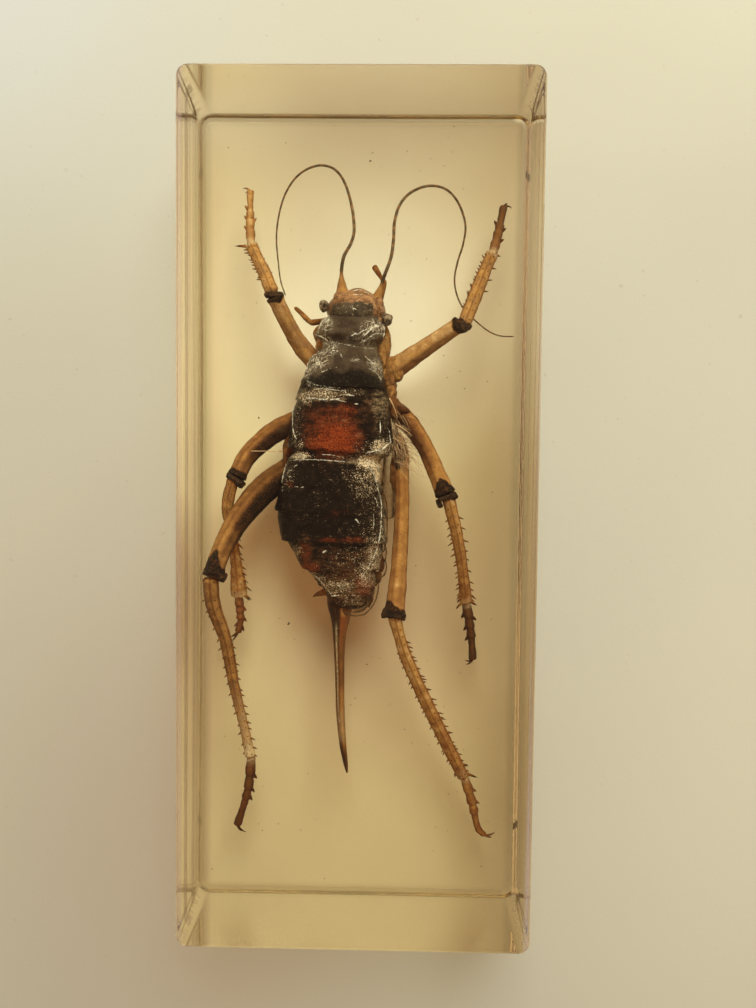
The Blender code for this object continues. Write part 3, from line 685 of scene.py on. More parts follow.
def makeHead():
    shape, warm = newShape("warm")
    centre, radii = head["skull"]
    for vert in ball(shape, centre, radii, 72):
        x, y, z = vert.co - Vector(centre)
        here = vert.co.copy()
        # brow between the feelers, cheeks, and a jaw that narrows below
        push = 0.35 * math.exp(-((x - 0.5) / 1.3) ** 2 - ((z - 1.8) / 1.4) ** 2) * ease(y, 0.5, 2.0)
        vert.co.y += push
        vert.co.x -= x * 0.22 * ease(-z, 0.5, 4.2)
        vert.co += (vert.co - Vector(centre)).normalized() * noise.noise(here * 0.9) * 0.14
        rough = 0.45 * noise.noise(here * 1.1) + 0.2 * noise.noise(here * 3.0)
        vert[warm] = max(ease(y + rough, 0.1, 1.1), ease(-z, -1.2, 0.4), ease(x + rough, 1.95, 2.8),
                         ease(-x + rough, 2.95, 3.7))
    for centre, radius in head["sockets"]:
        for vert in ball(shape, centre, (radius, radius * 0.8, radius), 20):
            vert[warm] = 1.0
    for x, y, z, size in ((-1.6, 28.6, 6.6, 1.5), (0.6, 28.7, 6.5, 1.5), (-0.5, 28.9, 8.7, 1.6)):  # jaws and lip
        for vert in ball(shape, (x, y - 0.6, z), (size * 0.75, 0.8, size), 20):
            vert[warm] = 1.0
    return makePiece("head", shape, headPaint())


def eyePaint():
    paint = Paint("eye_facets")
    mesh = paint.cells(0.09)
    tone = paint.grain(0.5, detail=2)
    base = paint.blend(paint.step(tone, 0.35, 0.7), (0.060, 0.040, 0.022), (0.520, 0.370, 0.215))
    base = paint.blend(paint.step(mesh, 0.1, 0.6) * 0.4, base, (0.015, 0.011, 0.008))
    return paint.finish(paint.surface(base, tone * 0.2 + 0.2, mesh, -0.02, {"Specular IOR Level": 0.5}))


def makeEyes():
    shape = bmesh.new()
    for centre, radii in head["eyes"]:
        for vert in ball(shape, centre, radii, 40):
            vert.co += (vert.co - Vector(centre)) * (0.22 * noise.noise(vert.co * 1.3)
                                                     + 0.10 * noise.noise(vert.co * 4))
    return makePiece("eyes", shape, eyePaint())


shieldPiece = makeShield()
headPiece = makeHead()
makeEyes()


# feelers: an orange-brown cone, then a thread of fine rings
feelers = {
    "left": [
        (-2.3, 27.8, 11.2), (-2.5, 31.5, 11.5), (-2.2, 33.5, 11.5), (-1.3, 35.2, 11.6), (-0.9, 36.8, 11.8),
        (-1.3, 40.1, 12.0), (-2.3, 43.0, 12.0), (-3.6, 44.5, 12.0), (-5.4, 44.9, 12.0), (-7.4, 44.2, 12.0),
        (-8.9, 42.8, 12.0), (-10.1, 40.6, 11.8), (-10.8, 37.8, 11.5), (-11.0, 35.6, 11.0),
        (-10.8, 32.9, 10.5), (-10.5, 30.5, 10.0), (-9.9, 28.7, 9.5)],
    "right": [
        (1.6, 26.6, 11.2), (3.0, 30.9, 11.5), (3.9, 33.5, 11.5), (4.2, 35.8, 11.6), (4.3, 37.9, 11.8),
        (5.0, 40.1, 12.0), (6.4, 41.6, 12.0), (8.6, 42.4, 12.0), (10.8, 42.0, 12.0), (12.4, 40.4, 11.8),
        (13.4, 37.7, 11.5), (13.2, 35.3, 11.0), (12.5, 32.9, 10.5), (12.2, 30.7, 10.0), (12.7, 28.6, 9.6),
        (13.6, 27.1, 9.2), (15.0, 25.8, 9.0), (16.8, 24.4, 9.0), (18.3, 23.8, 9.0), (20.2, 23.7, 9.0)],
    "cone": 3.8, "coneRadius": 1.0, "thread": 0.225, "tip": 0.075, "ring": 0.42,
    "palps": [
        [(-3.2, 26.0, 7.6, 0.45), (-4.9, 25.7, 7.9, 0.36), (-6.4, 25.45, 8.0, 0.42), (-6.8, 25.55, 8.0, 0.33),
         (-7.4, 26.1, 7.9, 0.36), (-8.1, 26.8, 7.7, 0.3), (-8.9, 27.5, 7.5, 0.25)],
        [(2.2, 26.6, 7.8, 0.4), (2.7, 28.8, 8.1, 0.30), (3.0, 30.7, 8.4, 0.34), (2.7, 31.2, 8.4, 0.26),
         (2.1, 32.1, 8.5, 0.36), (1.6, 32.9, 8.5, 0.42)]],
}


def shellRamp(paint, tone):
    # the shell runs from straw through ochre and brown to black
    return paint.node("ShaderNodeValToRGB", {"stops": [
        (0.0, (0.74, 0.50, 0.235)), (0.22, (0.51, 0.250, 0.064)), (0.48, (0.245, 0.100, 0.027)),
        (0.74, (0.074, 0.028, 0.0085)), (1.0, (0.0130, 0.0075, 0.0046))]}, {"Fac": tone})


def shellPaint(name, speckle=0.25, wrinkles=0.0):
    paint = Paint(name)
    tone, red, film = paint.mark("tone"), paint.mark("red"), paint.mark("film")
    cloud, grit = paint.grain(1.3, detail=4, rough=0.6), paint.grain(0.22, detail=2, rough=0.65)
    pits = paint.step(paint.cells(0.62), 0.20, 0.10)
    # the black ends are flecked with brown
    tone = tone + (cloud - 0.5) * 0.42 + (grit - 0.5) * (paint.step(tone, 0.75, 0.92) * 1.0 + speckle) + pits * 0.20
    base = paint.blend(red * paint.step(cloud, 0.3, 0.6), shellRamp(paint, tone), (0.225, 0.060, 0.018))
    base = paint.blend(paint.step(film + (cloud - 0.5) * 0.6, 0.1, 1.2) * 0.6, base, (0.52, 0.37, 0.19))
    folds = paint.maths("MAXIMUM", paint.crinkle(0.9, 0.03, (1, 2.4, 1), (0, 0, 0.2)),
                        paint.crinkle(0.6, 0.04, (1, 1.6, 1)) * 0.7) * wrinkles
    base = paint.blend(folds, base, (0.085, 0.034, 0.015))
    flakes = paint.grain(0.15, detail=2, rough=0.7)
    cover = paint.step(flakes + film * 0.26, 0.74, 0.84)
    base = paint.blend(cover * 0.85, base, (0.80, 0.62, 0.37))
    return paint.shell(base, (cloud - 0.5) * 0.3 + 0.42,
                       cloud + grit * 0.5 - pits * 0.2 - folds * 1.5, 0.07, 0.16)


def makeFeelers(material):
    s = feelers
    for name in ("left", "right"):
        shape, tone, red, film = newShape("tone", "red", "film")
        path = eased(s[name], 760)
        total = pathLength(path)
        run, along = [], 0.0
        for a, b in zip(path, path[1:] + path[-1:]):
            wide = s["coneRadius"] + (s["thread"] - s["coneRadius"]) * ease(along, 0.2, s["cone"])
            radius = min(wide, s["thread"] * 1.02) if along > s["cone"] else wide
            if along > s["cone"]:
                radius = s["thread"] + (s["tip"] - s["thread"]) * ((along - s["cone"]) / (total - s["cone"])) ** 0.8
            run.append((*a, radius))
            along += math.dist(a, b)

        def rings(along, angle):
            if along < s["cone"]:
                return 1 + 0.05 * math.sin(along * 3.0)
            return 1 + 0.10 * abs(math.sin(math.pi * along / s["ring"]))

        for vert, along, angle, out in tube(shape, run, 10, rings, tips=(0, 0.3)):
            # the thread is banded light and dark, and paler where film clings to it
            bands = 0.5 + 0.5 * math.sin(along * 5.2 + 1.5 * math.sin(along * 0.7))
            pale = 0.16 * math.exp(-((along - 11.0) / 2.2) ** 2) + 0.42 * bands * ease(along, 4, 7)
            vert[tone] = 0.33 + 0.64 * ease(along, s["cone"] - 0.7, s["cone"] + 0.6) - pale
            vert[red] = 0.25 * (1 - ease(along, s["cone"] - 1.0, s["cone"]))
            vert[film] = 0.35 + 0.15 * ease(along, 4, 6)
        makePiece("feeler_" + name, shape, material)
    shape, tone, red, film = newShape("tone", "red", "film")
    for points in s["palps"]:
        for vert, along, angle, out in tube(shape, eased(points, 60), 16, tips=(0.2, 0.35)):
            vert[tone] = 0.44 + 0.2 * noise.noise(vert.co * 1.5)
            vert[red] = 0.3
    makePiece("mouth_palps", shape, material)


insectShell = shellPaint("leg_shell")
makeFeelers(shellPaint("feeler_shell", 0.25, 0.35))


# legs: points are (x, y, z, radius); shade is the direction of the side given painted shade, and how much
legs = {
    "front_left": {
        "thigh": [(-5.4, 19.6, 7.4, 1.3), (-8.0, 22.4, 8.6, 1.15), (-10.5, 26.9, 11.9, 0.98),
                  (-11.1, 28.3, 12.4, 1.08)],
        "shin": [(-11.3, 28.6, 12.5, 0.85), (-12.6, 31.5, 10.8, 0.80), (-13.9, 34.1, 9.3, 0.70),
                 (-14.6, 35.5, 8.6, 0.78)],
        "foot": [(-14.6, 35.4, 8.6, 0.62), (-14.8, 38.6, 7.6, 0.55), (-14.9, 42.9, 6.6, 0.42)],
        "thighTone": (0.20, 0.17), "shade": ((0.6, -0.6, 0.0), 0.10), "red": (0.35, 0.1, 0.5), "haze": 0.42,
        "shinTone": (0.24, 0.22), "footTone": (0.24, 0.30),
        # dark end of the thigh: length, where it reaches highest, breadth of that peak, in degrees;
        # then the rounded corners on it: centre, radii, turn in degrees
        "band": (0.9, 75, 60), "cuffs": [((-11.0, 28.4, 12.35), (1.1, 0.42, 0.95), 4),
                                         ((-12.0, 28.4, 12.3), (0.38, 0.32, 0.6), 30)],
        # side, from, to, count, length, lean towards the foot
        "spines": [(-1, 0.30, 0.92, 10, 0.62, 0.25), (1, 0.35, 0.85, 5, 0.3, 0.3), (-1, 0.97, 1.0, 2, 1.35, 0.35)],
        "lobes": [(-1, 0.32), (-1, 0.50), (-1, 0.68), (1, 0.45)],
        "claws": [(-15.9, 43.1, 6.5), (-15.6, 42.5, 6.4)],
    },
    "front_right": {
        "thigh": [(1.6, 17.6, 7.4, 1.5), (4.8, 19.6, 8.6, 1.38), (8.6, 22.1, 10.4, 1.12), (12.2, 24.4, 12.1, 1.0),
                  (13.0, 24.9, 12.5, 1.05)],
        "shin": [(13.4, 24.8, 12.2, 0.82), (15.2, 29.6, 10.8, 0.86), (16.6, 33.2, 9.3, 0.74),
                 (17.2, 34.6, 8.8, 0.78)],
        "foot": [(17.2, 34.4, 8.8, 0.65), (18.0, 37.6, 7.8, 0.60), (18.7, 41.0, 6.8, 0.48)],
        "thighTone": (0.20, 0.15), "shade": ((0.5, -0.9, 0.0), 0.18), "red": (0.35, 0.1, 0.25), "haze": 0.42,
        "shinTone": (0.24, 0.27), "footTone": (0.52, 0.80),
        "band": (1.0, 80, 60), "cuffs": [((13.2, 24.75, 12.3), (0.92, 0.46, 0.92), -62),
                                         ((14.0, 24.6, 12.2), (0.4, 0.4, 0.6), -30)],
        "spines": [(-1, 0.18, 0.92, 15, 0.55, 0.25), (1, 0.45, 0.98, 4, 0.8, 0.1)],
        "lobes": [(1, 0.30), (1, 0.52), (-1, 0.62)],
        "claws": [(19.8, 40.7, 6.7), (19.2, 41.4, 6.5)],
    },
    "middle_left": {
        "thigh": [(-6.8, 12.6, 7.2, 1.5), (-9.0, 12.0, 8.4, 1.45), (-11.8, 10.4, 10.0, 1.38),
                  (-14.6, 7.5, 12.0, 1.2), (-15.95, 4.75, 12.7, 1.12)],
        "shin": [(-16.35, 4.7, 12.4, 0.76), (-17.2, 1.1, 11.5, 0.76), (-16.8, -2.9, 9.9, 0.66),
                 (-16.4, -6.9, 8.6, 0.72), (-16.2, -9.6, 8.0, 1.0), (-16.1, -11.4, 7.6, 1.08)],
        "foot": [(-16.2, -11.2, 7.6, 0.62), (-16.0, -14.8, 6.9, 0.52), (-16.4, -16.4, 6.6, 0.45)],
        "thighTone": (0.46, 0.38), "shade": ((0.65, -0.7, 0.1), 0.52), "red": (0.1, 0.35, 0.8), "haze": 0.16,
        "shinTone": (0.30, 0.20), "footTone": (0.50, 0.78),
        "band": (0.9, 90, 200), "cuffs": [((-15.95, 4.5, 12.6), (1.25, 0.36, 0.95), -33),
                                          ((-16.75, 5.0, 12.6), (0.5, 0.42, 0.6), -20),
                                          ((-15.35, 3.95, 12.6), (0.55, 0.5, 0.7), -40)],
        "spines": [(-1, 0.33, 0.97, 12, 0.92, 0.7), (1, 0.28, 0.5, 3, 0.3, 0.4), (-1, 0.99, 1.0, 2, 1.0, 0.9)],
        "lobes": [(-1, 0.35), (-1, 0.62), (-1, 0.85), (1, 0.8)],
        "claws": [(-17.6, -17.0, 6.5), (-17.2, -17.6, 6.4)],
    },
    "middle_right": {
        "thigh": [(2.0, 14.8, 7.2, 1.5), (4.6, 13.8, 8.4, 1.4), (6.7, 11.9, 10.2, 1.25), (8.8, 8.7, 11.8, 1.05),
                  (11.4, 2.75, 12.7, 1.2)],
        "shin": [(11.6, 2.9, 12.3, 0.80), (13.0, -2.4, 11.2, 0.74), (13.9, -7.2, 9.8, 0.68),
                 (14.5, -11.7, 8.6, 0.82)],
        "foot": [(14.5, -11.5, 8.6, 0.70), (15.3, -16.1, 7.6, 0.60), (15.6, -19.6, 7.2, 0.52)],
        "thighTone": (0.50, 0.18), "shade": ((-0.8, -0.4, 0.1), 0.40), "red": (0.15, 0.3, 0.1), "haze": 0.12,
        "shinTone": (0.15, 0.30), "footTone": (0.72, 0.86),
        "band": (2.3, 92, 45), "cuffs": [((11.5, 2.5, 12.5), (1.3, 0.38, 1.05), 17),
                                         ((10.55, 1.75, 12.4), (0.36, 0.65, 0.6), 20),
                                         ((12.5, 2.75, 12.4), (0.42, 0.5, 0.6), 30)],
        "spines": [(1, 0.22, 0.90, 14, 0.78, 0.35), (-1, 0.22, 0.88, 8, 0.7, 0.5), (1, 0.90, 1.0, 5, 0.8, 0.7),
                   (-1, 0.91, 1.0, 5, 0.75, 0.7)],
        "lobes": [(1, 0.22), (1, 0.44), (1, 0.62), (-1, 0.3)],
        "claws": [(14.5, -19.6, 7.1), (14.7, -20.2, 7.0)],
    },
    "hind_left": {
        "thigh": [(-7.4, 7.0, 7.0, 1.7), (-10.1, 5.3, 8.2, 1.75), (-12.9, 2.9, 10.2, 1.8),
                  (-16.0, -1.4, 13.2, 1.45), (-17.9, -5.6, 15.1, 1.2), (-18.45, -7.85, 15.3, 1.28)],
        "shin": [(-18.95, -8.0, 14.9, 0.98), (-18.7, -11.8, 14.0, 0.92), (-17.3, -16.7, 12.2, 0.80),
                 (-16.4, -22.9, 10.4, 0.68), (-15.3, -28.2, 9.2, 0.60), (-14.3, -33.1, 8.6, 0.68)],
        "foot": [(-14.2, -32.9, 8.6, 0.70), (-14.8, -37.9, 7.4, 0.62), (-16.3, -43.0, 6.8, 0.52)],
        "thighTone": (0.52, 0.32), "shade": ((0.75, -0.65, 0.1), 0.45), "red": (0.0, 0.15, 0.45), "haze": 0.1,
        "bleach": 0.8,
        "shinTone": (0.36, 0.34), "footTone": (0.72, 0.88),
        "band": (3.0, 62, 48), "cuffs": [((-18.4, -7.75, 15.1), (1.45, 0.42, 1.15), -17),
                                         ((-19.35, -7.35, 15.0), (0.5, 0.5, 0.8), -10),
                                         ((-17.35, -8.1, 15.0), (0.48, 0.62, 0.8), -20)],
        "spines": [(1, 0.10, 0.97, 17, 0.55, 0.5), (-1, 0.38, 0.99, 14, 0.68, 0.45)],
        "lobes": [(-1, 0.28), (-1, 0.47), (-1, 0.58)],
        "claws": [(-15.0, -43.9, 6.7), (-15.6, -43.8, 6.5)],
    },
    "hind_right": {
        "thigh": [(1.8, 11.0, 7.4, 1.6), (5.0, 9.4, 8.4, 1.2), (5.7, 4.7, 9.8, 0.92), (5.65, -1.8, 12.2, 0.94),
                  (5.25, -8.9, 14.6, 1.12), (4.85, -12.6, 15.3, 1.28)],
        "shin": [(4.85, -12.7, 14.9, 0.88), (5.5, -15.2, 14.4, 0.70), (6.4, -18.1, 13.6, 0.76),
                 (9.1, -24.3, 11.6, 0.80), (12.2, -30.7, 9.8, 0.80), (14.6, -35.4, 8.8, 0.72)],
        "foot": [(14.6, -35.2, 8.8, 0.68), (15.8, -39.1, 7.6, 0.62), (16.7, -42.7, 7.0, 0.48),
                 (17.6, -43.7, 6.9, 0.34)],
        "thighTone": (0.34, 0.29), "shade": ((-1.0, 0.0, -0.1), 0.08), "red": (0.25, 0.5, 0.5), "haze": 0.0,
        "shinTone": (0.14, 0.30), "footTone": (0.40, 0.50),
        "band": (1.7, 35, 60), "cuffs": [((4.75, -12.45, 15.1), (1.5, 0.62, 1.15), -4),
                                         ((6.1, -12.95, 15.0), (0.3, 0.45, 0.7), -8),
                                         ((3.5, -12.75, 15.0), (0.32, 0.4, 0.7), 0)],
        "spines": [(1, 0.18, 0.97, 22, 0.52, 0.45), (-1, 0.16, 0.97, 28, 0.72, 0.5), (-1, 0.97, 1.0, 2, 1.1, 0.9)],
        "lobes": [(-1, 0.25), (-1, 0.45)],
        "claws": [(19.0, -43.2, 6.8), (18.6, -43.9, 6.7)],
    },
}


def pathSpot(run, share):
    # place, heading and radius at a share of a run of stations
    n = min(int(share * (len(run) - 1)), len(run) - 2)
    a, b = run[n], run[n + 1]
    t = share * (len(run) - 1) - n
    spot = Vector(a[:3]).lerp(Vector(b[:3]), t)
    return spot, (Vector(b[:3]) - Vector(a[:3])).normalized(), a[3] + (b[3] - a[3]) * t


def addSpine(shape, tone, red, base, tip, radius, dark, bend=(0, 0, 0)):
    length = (Vector(tip) - Vector(base)).length
    for vert, along, angle, out in thorn(shape, base, tip, radius, bend):
        vert[tone] = dark - 0.10 + 0.42 * ease(along, length * 0.2, length * 0.9)
        vert[red] = 0.2


pitGap, pitRadius = 1.2, 0.085  # the bristle pits along a shin, mm
footJoints = (0.0, 0.27, 0.46, 0.62, 1.0)


def makeLeg(name, s, material):
    rand = random.Random(name)
    shape, tone, red, film = newShape("tone", "red", "film")
    side, amount = Vector(s["shade"][0]).normalized(), s["shade"][1]

    # thigh, its end dark with a peaked edge
    run = eased(s["thigh"], 120)
    total = pathLength(run)
    length, peak, breadth = s["band"]

    def thighForm(along, angle):
        flare = 0.10 * ease(along, total - 1.0, total - 0.3)
        return 1 + 0.035 * math.cos(4 * angle) - 0.04 * math.exp(-((math.degrees(angle) - 90) / 14) ** 2) + flare

    for vert, along, angle, out in tube(shape, run, 48, thighForm, tips=(0.8, 0.25)):
        t, degrees = along / total, math.degrees(angle)
        vert.co += out * (noise.noise(vert.co * 0.7) * 0.09 + noise.noise(vert.co * 2.2) * 0.035)
        # painted shade: the side facing that direction is darker, fading out towards the knee
        shade = amount * ease(out.dot(side), -0.40, 0.45) * (1 - 0.8 * ease(t, 0.60, 0.95))
        # lengthwise stripes, and painted shade: both side edges of the thigh darker
        stripesAndEdgeShade = 0.05 * math.cos(6 * angle + 0.8) + 0.10 * math.exp(-((degrees - 62) / 7) ** 2)
        stripesAndEdgeShade += 0.10 * ease(abs(math.cos(angle)), 0.75,
                               0.95) + 0.10 * noise.noise(vert.co * Vector((1.1, 1.1, 1.1)))
        vert[tone] = s["thighTone"][0] + (s["thighTone"][1] - s["thighTone"][0]) * ease(t, 0.25,
                0.9) + shade + stripesAndEdgeShade
        gap = abs((degrees - peak + 180) % 360 - 180)
        edge = total - length * (0.38 + 0.62 * math.exp(-(gap / breadth) ** 2)) + 0.25 * noise.noise(vert.co * 1.7)
        vert[tone] += (0.97 + 0.25 * noise.noise(vert.co * 2.5) - vert[tone]) * ease(along - edge, -0.15, 0.15)
        vert[red] = s["red"][0] * (1 - ease(along - edge, -0.3, 0.0))
        vert[film] = s["haze"] + (0.16 - s["haze"]) * ease(along - edge, -0.1, 0.2)
    for centre, radii, degrees in s["cuffs"]:
        for vert in cuff(shape, centre, radii, Matrix.Rotation(math.radians(degrees), 3, "Z")):
            vert.co += (vert.co - Vector(centre)) * (noise.noise(vert.co * 1.1) * 0.22
                                                     + noise.noise(vert.co * 3) * 0.08)
            vert[tone] = 0.98 + 0.3 * noise.noise(vert.co * 2.5) + 0.2 * noise.noise(vert.co * 6)
            vert[red] = 0.06
            vert[film] = 0.24

    # shin: four ridges, the dark ones carry the spines
    run = eased(s["shin"], 150)
    total = pathLength(run)

    def shinForm(along, angle):
        return 1 + 0.075 * math.cos(4 * angle)

    for vert, along, angle, out in tube(shape, run, 36, shinForm, tips=(0.5, 0.3)):
        t = along / total
        vert.co += out * (noise.noise(vert.co * 1.3) * 0.06 + noise.noise(vert.co * 3.5) * 0.03)
        ridge = max(math.exp(-((math.degrees(angle) - spot) / 9) ** 2) for spot in (22, 90, 158, 360))
        vert[tone] = s["shinTone"][0] + (s["shinTone"][1] - s["shinTone"][0]) * t + 0.27 * ridge
        vert[tone] += 0.14 * noise.noise(vert.co * Vector((0.9, 0.9, 0.9))) - 0.10 * ease(t, 0.93, 0.99)
        vert[red] = s["red"][1] * ease(t, 0.3, 0.9) + 0.2 * ridge
        vert[film] = s["haze"] * 0.8 + 0.55 * ease(t, 0.90, 0.97) + 0.2 * noise.noise(vert.co * 0.9)
        bleached = s.get("bleach", 0) * ease(t, 0.45, 0.9)
        vert[film] += bleached * 0.9
        vert[tone] -= bleached * 0.16
    for which, low, high, count, length, lean in s["spines"]:
        for n in range(count):
            share = low + (high - low) * (n / max(count - 1, 1)) + rand.uniform(-0.016, 0.016)
            spot, ahead, radius = pathSpot(run, min(share, 0.999))
            across = ahead.cross(up).normalized() * which
            above = (-ahead.cross(across) if which > 0 else ahead.cross(across)) * rand.uniform(0.1, 0.5)
            out = (across + above).normalized()
            reach = length * rand.uniform(0.75, 1.4)
            base = spot + out * radius * 0.82
            tip = base + out * reach * 0.85 + ahead * reach * lean
            addSpine(shape, tone, red, base, tip, 0.15, 0.50, ahead * -0.10)
    # small dark bristle pits along the top ridge
    for n in range(int(total / pitGap)):
        spot, ahead, radius = pathSpot(run, (n + 0.5) * pitGap / total)
        across = ahead.cross(up).normalized()
        above = across.cross(ahead)
        for lean in (-0.55, 0.5):
            out = (above + across * lean).normalized()
            pit = spot + out * radius * 1.03 + ahead * rand.uniform(-0.2, 0.2)
            for vert in ball(shape, pit, (pitRadius, pitRadius, pitRadius), 6):
                vert[tone] = 0.85

    # foot: beads that widen outward, lobes below
    run = eased(s["foot"], 90)
    total = pathLength(run)

    def footForm(along, angle):
        t = min(along / total, 0.9999)
        n = max(i for i in range(4) if t >= footJoints[i])
        part = (t - footJoints[n]) / (footJoints[n + 1] - footJoints[n])
        if n == 3:
            return 0.82 + 0.24 * ease(part, 0.3, 0.9)
        return 0.84 + 0.22 * ease(part, 0.05, 0.8) - 0.14 * ease(part, 0.86, 1.0)

    for vert, along, angle, out in tube(shape, run, 20, footForm, tips=(0.2, 0.25)):
        t = along / total
        vert.co += out * noise.noise(vert.co * 2.0) * 0.06
        # painted shade: the foot is darker at both sides, lighter along its top and underside
        vert[tone] = s["footTone"][0] + (s["footTone"][1] - s["footTone"][0]) * t + 0.12 * math.cos(angle * 2)
        vert[red] = s["red"][2]
        vert[film] = 0.6 * (1 - ease(t, 0.02, 0.16)) + s["haze"] * 0.5 + 0.12
    for which, share in s["lobes"]:
        spot, ahead, radius = pathSpot(run, share)
        across = ahead.cross(up).normalized() * which
        base = spot + across * radius * 0.35 - ahead * 0.25
        tip = spot + across * (radius * 1.55) + ahead * 0.42 - Vector((0, 0, 0.15))
        for vert, along, angle, out in thorn(shape, base, tip, radius * 0.62, ahead * -0.25, rings=6, sides=12):
            vert[tone] = s["footTone"][0] + (s["footTone"][1] - s["footTone"][0]) * share + 0.08
            vert[red] = s["red"][2]
    end = Vector(s["foot"][-1][:3])
    last = (end - Vector(s["foot"][-2][:3])).normalized()
    for claw in s["claws"]:
        claw = Vector(claw)
        bend = last * 0.9 if (claw - end).length > 1.0 else last * 0.5
        addSpine(shape, tone, red, end - last * 0.15, claw, 0.17, s["footTone"][1], bend)
    return makePiece("leg_" + name, shape, material)


def makeHips(material):
    shape, tone, red, film = newShape("tone", "red", "film")
    lumps = [  # centre, radii, turn, tone, red
        ((2.9, 21.4, 8.7), (1.0, 3.3, 1.9), -0.10, 0.27, 0.20), ((4.4, 19.3, 8.6), (1.45, 1.8, 1.5), 0.3, 0.30, 0.3),
        ((3.9, 17.2, 8.7), (1.0, 1.8, 1.6), 0.2, 0.55, 0.3), ((-5.2, 22.4, 9.2), (0.8, 0.9, 1.2), 0.5, 0.10, 0.0),
        ((-5.4, 23.9, 7.9), (0.9, 1.3, 1.4), 0.2, 0.36, 0.2),
        ((4.4, 14.3, 9.8), (1.0, 1.6, 1.3), 0.25, 0.62, 0.3), ((4.1, 16.2, 9.4), (0.8, 1.4, 1.2), 0.1, 0.34, 0.2),
        ((5.5, 13.9, 10.3), (1.15, 0.55, 0.8), -0.35, 0.82, 0.2),
        ((5.3, 8.0, 10.1), (0.95, 1.7, 1.0), -0.2, 0.80, 0.1), ((4.6, 5.9, 9.0), (0.55, 2.6, 1.1), 0.0, 0.45, 0.2),
        ((3.0, -6.3, 10.2), (0.50, 1.3, 0.8), 0.1, 0.80, 0.4),
        ((2.75, -8.3, 10.1), (0.45, 0.9, 0.7), -0.2, 0.76, 0.4),
        ((-9.4, 9.3, 8.5), (0.75, 2.6, 1.3), -0.15, 0.50, 0.35), ((-9.8, 7.8, 8.7), (0.4, 1.9, 1.1), 0.0, 0.45, 0.5),
    ]
    for centre, radii, turn, dark, blood in lumps:
        for vert in ball(shape, centre, radii, 30, Matrix.Rotation(turn, 3, "Z")):
            vert.co += (vert.co - Vector(centre)) * noise.noise(vert.co * 1.1) * 0.3
            vert[tone] = dark + 0.25 * noise.noise(vert.co * Vector((1.6, 0.7, 1.6)))
            vert[red] = blood
            vert[film] = 0.30 if centre[1] > 16 else 0.12
    return makePiece("hips", shape, material)


for legName, legSettings in legs.items():
    makeLeg(legName, legSettings, insectShell)
makeHips(shellPaint("hip_shell", 0.3, 0.6))


# tail: the egg-layer is a tall blade of two valves, brown left and orange right at its root
tail = {
    "blade": [  # x, y, z, half width
        (-2.35, -9.8, 8.3, 1.8), (-2.42, -12.0, 8.4, 1.72), (-2.32, -13.6, 8.8, 1.40), (-2.38, -15.2, 9.2, 1.04),
        (-2.42, -17.2, 9.4, 0.80),
        (-2.3, -22.2, 9.6, 0.62), (-2.15, -26.6, 9.9, 0.58), (-1.75, -30.8, 10.4, 0.46), (-1.35, -33.2, 10.8, 0.30),
        (-1.12, -34.5, 10.95, 0.10)],
    "tall": 1.65,
    "cerci": [
        [(-2.9, -9.9, 10.2, 0.62), (-4.3, -10.3, 9.8, 0.50), (-5.4, -10.7, 9.5, 0.28), (-6.1, -11.1, 9.3, 0.06)],
        [(0.4, -9.6, 9.8, 0.5), (1.7, -11.0, 9.3, 0.4), (1.5, -12.5, 9.0, 0.1)]],
    # curled edges of the loose skin, thin and see-through: path, width
    "skins": [
        ([(-2.0, -12.4, 11.0), (-0.6, -13.1, 10.9), (0.8, -12.9, 10.8), (1.9, -11.7, 10.7), (2.4, -10.2, 10.7),
          (2.5, -8.8, 10.8)], 0.34),
        ([(-0.6, -12.3, 11.3), (0.5, -12.0, 11.2), (1.4, -11.0, 11.1), (1.9, -9.6, 11.1)], 0.5),
        ([(3.0, 3.0, 10.6), (3.4, 1.2, 10.4), (3.5, -1.2, 10.3), (3.4, -3.4, 10.3), (3.0, -5.0, 10.4)], 0.40),
        ([(2.2, -3.4, 11.0), (3.3, -4.2, 10.7), (3.35, -5.6, 10.5), (2.6, -6.6, 10.8)], 0.42),
        ([(2.4, -5.6, 11.0), (3.4, -6.3, 10.6), (3.3, -7.6, 10.5), (2.3, -8.4, 10.8)], 0.40),
        ([(3.0, 15.6, 10.4), (3.9, 13.0, 10.2), (4.2, 9.8, 9.6), (4.1, 6.6, 9.2), (3.9, 3.0, 9.2),
          (3.8, -0.6, 9.4)], 0.95)],
}


